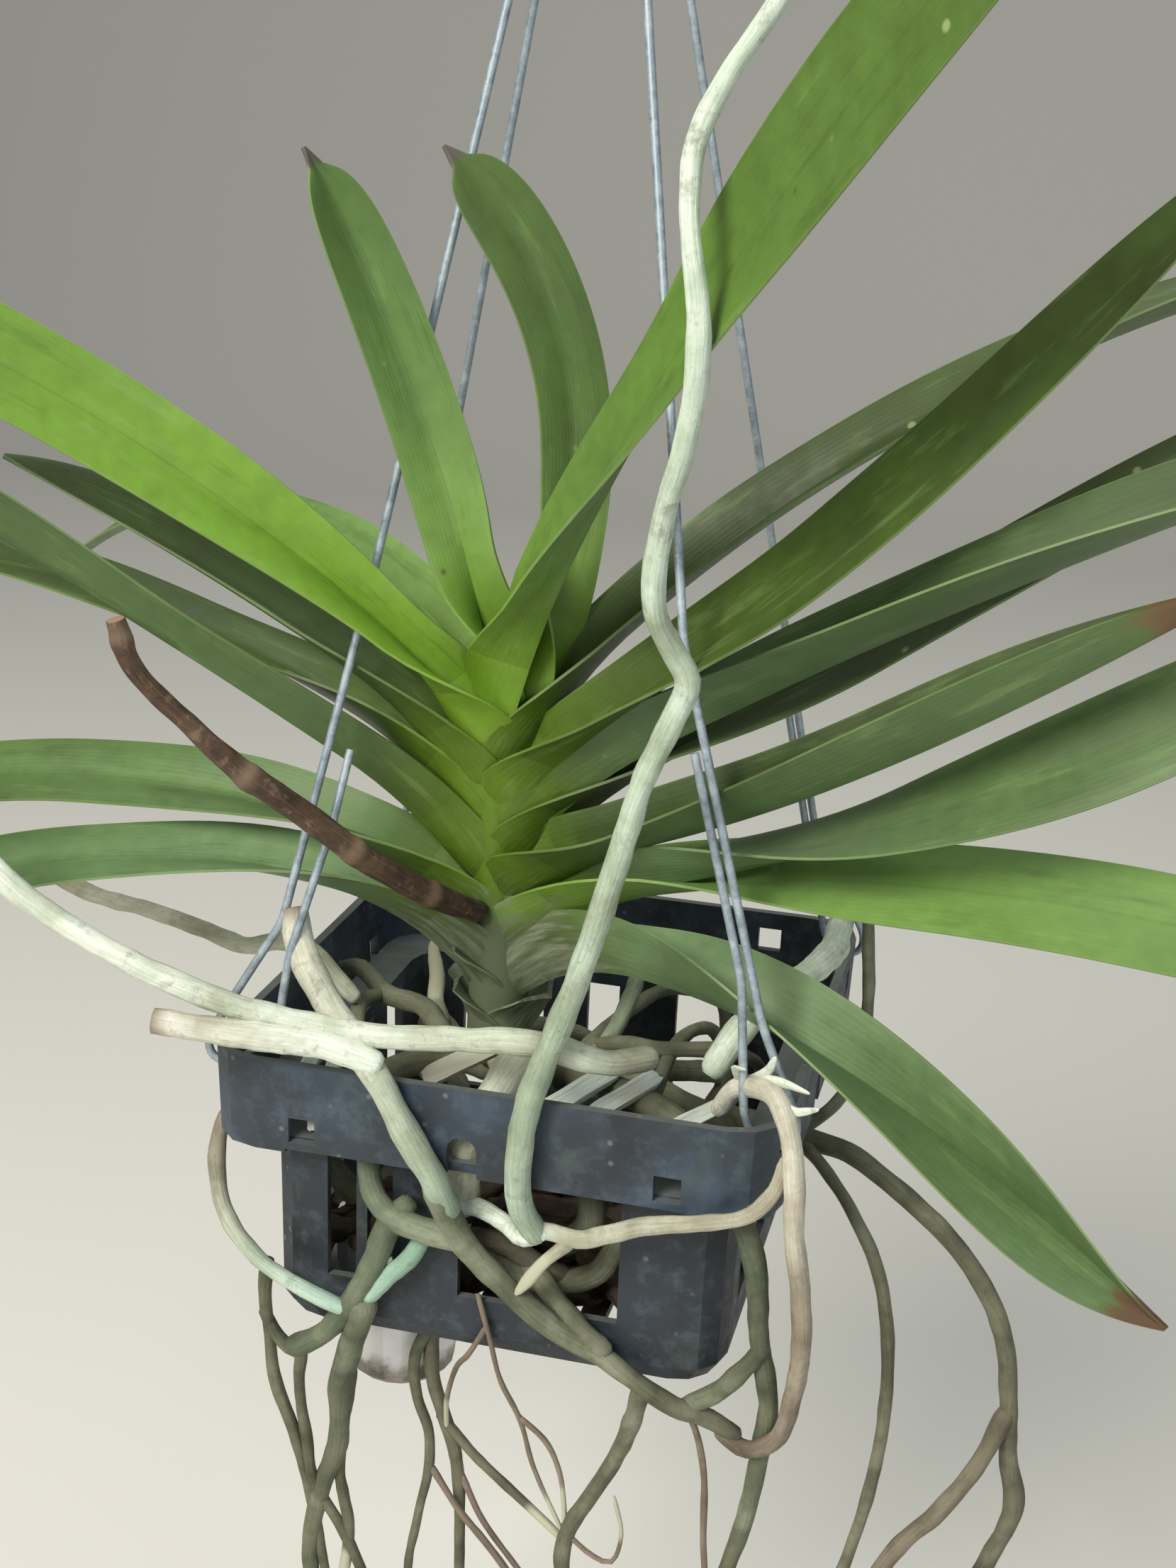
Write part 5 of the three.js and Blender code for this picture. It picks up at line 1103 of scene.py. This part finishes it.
def split_softwood():
    """Weathered split lath: bleached grey-white with a green-blue cast, grain 0.7 mm apart."""
    finish = Finish("split_softwood_bleached")
    add = finish.add
    grain = add(VECTOR_MARK, attribute_name="grain")
    fresh = add(MARK, attribute_name="fresh")
    fibres = add(NOISE, add(STRETCH, grain, (0.06, 1.4, 1.4)), 1.0, 5.0, 0.65)
    clouds = add(NOISE, add(PLACE), PER_MM / 9, 3.0)
    body = add(RAMP, fibres, stops=[(0.3, "#93aba6"), (0.5, "#cddcd7"), (0.7, "#eef2ee")])
    body = add(MIX, add(RANGE, clouds, 0.45, 0.7, 0.0, 0.6), body, "#cdbfa2")
    body = add(MIX, fresh, body, "#c9c0a6")
    add(OUTPUT, add(SURFACE, body, 0.82, add(BUMP, 0.6, 0.0005, fibres), more={"IOR": 1.5}))
    return finish.material


def pine_bark():
    """Broken bark in a damp basket: dark brown, torn along its layers, grey where it has dried."""
    finish = Finish("pine_bark_chunks")
    add = finish.add
    grain = add(VECTOR_MARK, attribute_name="grain")
    seed = add(MARK, attribute_name="seed")
    layers = add(NOISE, add(STRETCH, grain, (0.2, 0.2, 1.4)), 0.9, 6.0, 0.7)
    clouds = add(NOISE, add(PLACE), PER_MM / 10, 4.0)
    # A value of its own, from 0 to 1, for each chunk.
    lot = add(FRACTION, add(TIMES, seed, 0.618))
    body = add(RAMP, layers, stops=[(0.3, "#231a13"), (0.5, "#3d2e22"), (0.7, "#5f4b3a")])
    body = add(MIX, add(RANGE, lot, 0.5, 1.0, 0.0, 0.55), body, "#645c50")
    body = add(MIX, add(RANGE, clouds, 0.56, 0.72, 0.0, 0.4), body, "#4f5a3c")
    add(OUTPUT, add(SURFACE, body, 0.92, add(BUMP, 0.8, 0.001, layers), more={"IOR": 1.45}))
    return finish.material


def studio_paper():
    """Matt off-white paper of the backdrop."""
    finish = Finish("matt_paper_sweep")
    finish.add(OUTPUT, finish.add(SURFACE, "#dcdad4", 0.95))
    return finish.material


# ---- studio ----
def camera_like_a_hand_held_phone():
    """In front of the basket's right half, turned a little left, looking down on the crown."""
    yaw, pitch, roll = (math.radians(a) for a in (13.5, 17.7, 2.5))
    ahead = Vector((-math.sin(yaw) * math.cos(pitch), math.cos(yaw) * math.cos(pitch), -math.sin(pitch)))
    level = Vector((math.cos(yaw), math.sin(yaw), 0))
    upright = level.cross(ahead)
    right = level * math.cos(roll) + upright * math.sin(roll)
    up = upright * math.cos(roll) - level * math.sin(roll)
    camera = bpy.data.cameras.new("studio_camera")
    focal_pixels, image_height = 2950, 2212
    camera.sensor_width = camera.sensor_height = 36
    camera.lens = focal_pixels / image_height * 36
    camera.clip_start = 0.02
    holder = bpy.data.objects.new("studio_camera", camera)
    turn = Matrix((right, up, -ahead)).transposed().to_4x4()
    holder.matrix_world = Matrix.Translation(in_frame((131, -523, 230))) @ turn
    bpy.context.scene.collection.objects.link(holder)
    bpy.context.scene.camera = holder


def soft_light(name, place, aim, size, power, colour):
    lamp = bpy.data.lights.new(name, "AREA")
    lamp.shape = "DISK"
    lamp.size = size
    lamp.energy = power
    lamp.color = linear(colour)[:3]
    holder = bpy.data.objects.new(name, lamp)
    holder.location = place
    holder.rotation_euler = (Vector(aim) - Vector(place)).to_track_quat("-Z", "Y").to_euler()
    bpy.context.scene.collection.objects.link(holder)


def pale_sweep():
    """Floor that curves up into a backdrop well behind the object."""
    floor = (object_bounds()[0][2]) - 0.05
    front, back, radius, height, half_width = -3.0, 2.2, 1.2, 4.5, 5.0
    turns = np.radians(np.arange(6, 91, 6))
    bend = [(back + radius * math.sin(a), floor + radius * (1 - math.cos(a))) for a in turns]
    profile = [(front, floor), (back, floor)] + bend + [(back + radius, floor + height)]
    points = [(x, y, z) for y, z in profile for x in (-half_width, half_width)]
    faces = [(2 * i, 2 * i + 1, 2 * i + 3, 2 * i + 2) for i in range(len(profile) - 1)]
    mesh = bpy.data.meshes.new("studio_floor")
    mesh.from_pydata(points, [], faces)
    mesh.shade_smooth()
    mesh.materials.append(studio_paper())
    sweep = bpy.data.objects.new("studio_floor", mesh)
    bpy.context.scene.collection.objects.link(sweep)


def studio():
    world = bpy.data.worlds.new("even_room_light")
    world.use_nodes = True
    background = world.node_tree.nodes["Background"]
    background.inputs[0].default_value = linear("#e8ebef")
    background.inputs[1].default_value = 0.25
    bpy.context.scene.world = world
    middle = (0, -0.02, -0.36)
    soft_light("key_softbox", (-0.6, -1.45, 0.75), middle, 0.9, 42, "#fffaf0")
    soft_light("fill_softbox", (1.4, -1.2, 0.2), middle, 1.4, 8, "#eef4ff")
    soft_light("top_softbox", (0.1, 0.3, 1.5), middle, 1.2, 16, "#fbfff4")
    bpy.context.scene.view_settings.view_transform = "Standard"
    pale_sweep()
    camera_like_a_hand_held_phone()


# ---- the model ----
leaf_skin = strap_leaf_cuticle()
root_skin = velamen()
zinc = weathered_zinc()
lath = split_softwood()

dress_node("basket", moulded_polypropylene(), bevel=0.5)
dress_node("cup", moulded_polystyrene(), bevel=0.35)
for name, wire in WIRES.items():
    wire_line = rounded_corners(wire_route(wire), 1.6)
    bar_piece(f"galvanised_wire_{name}", wire_line, WIRE, 12, zinc, (f"hanger_wire_{name}",))
hook_piece(zinc)
collar_piece(zinc)
stem_piece(leaf_skin)
for number, (name, leaf) in enumerate(LEAVES.items()):
    leaf_piece(name, leaf, seed_of(number), leaf_skin)
spike_piece(dry_stalk())
for number, stick in enumerate(STICKS, 1):
    stick_piece(number, stick, lath)
for node in SYSTEMS:
    root_piece(node, root_skin)
bark_piece(pine_bark())
studio()
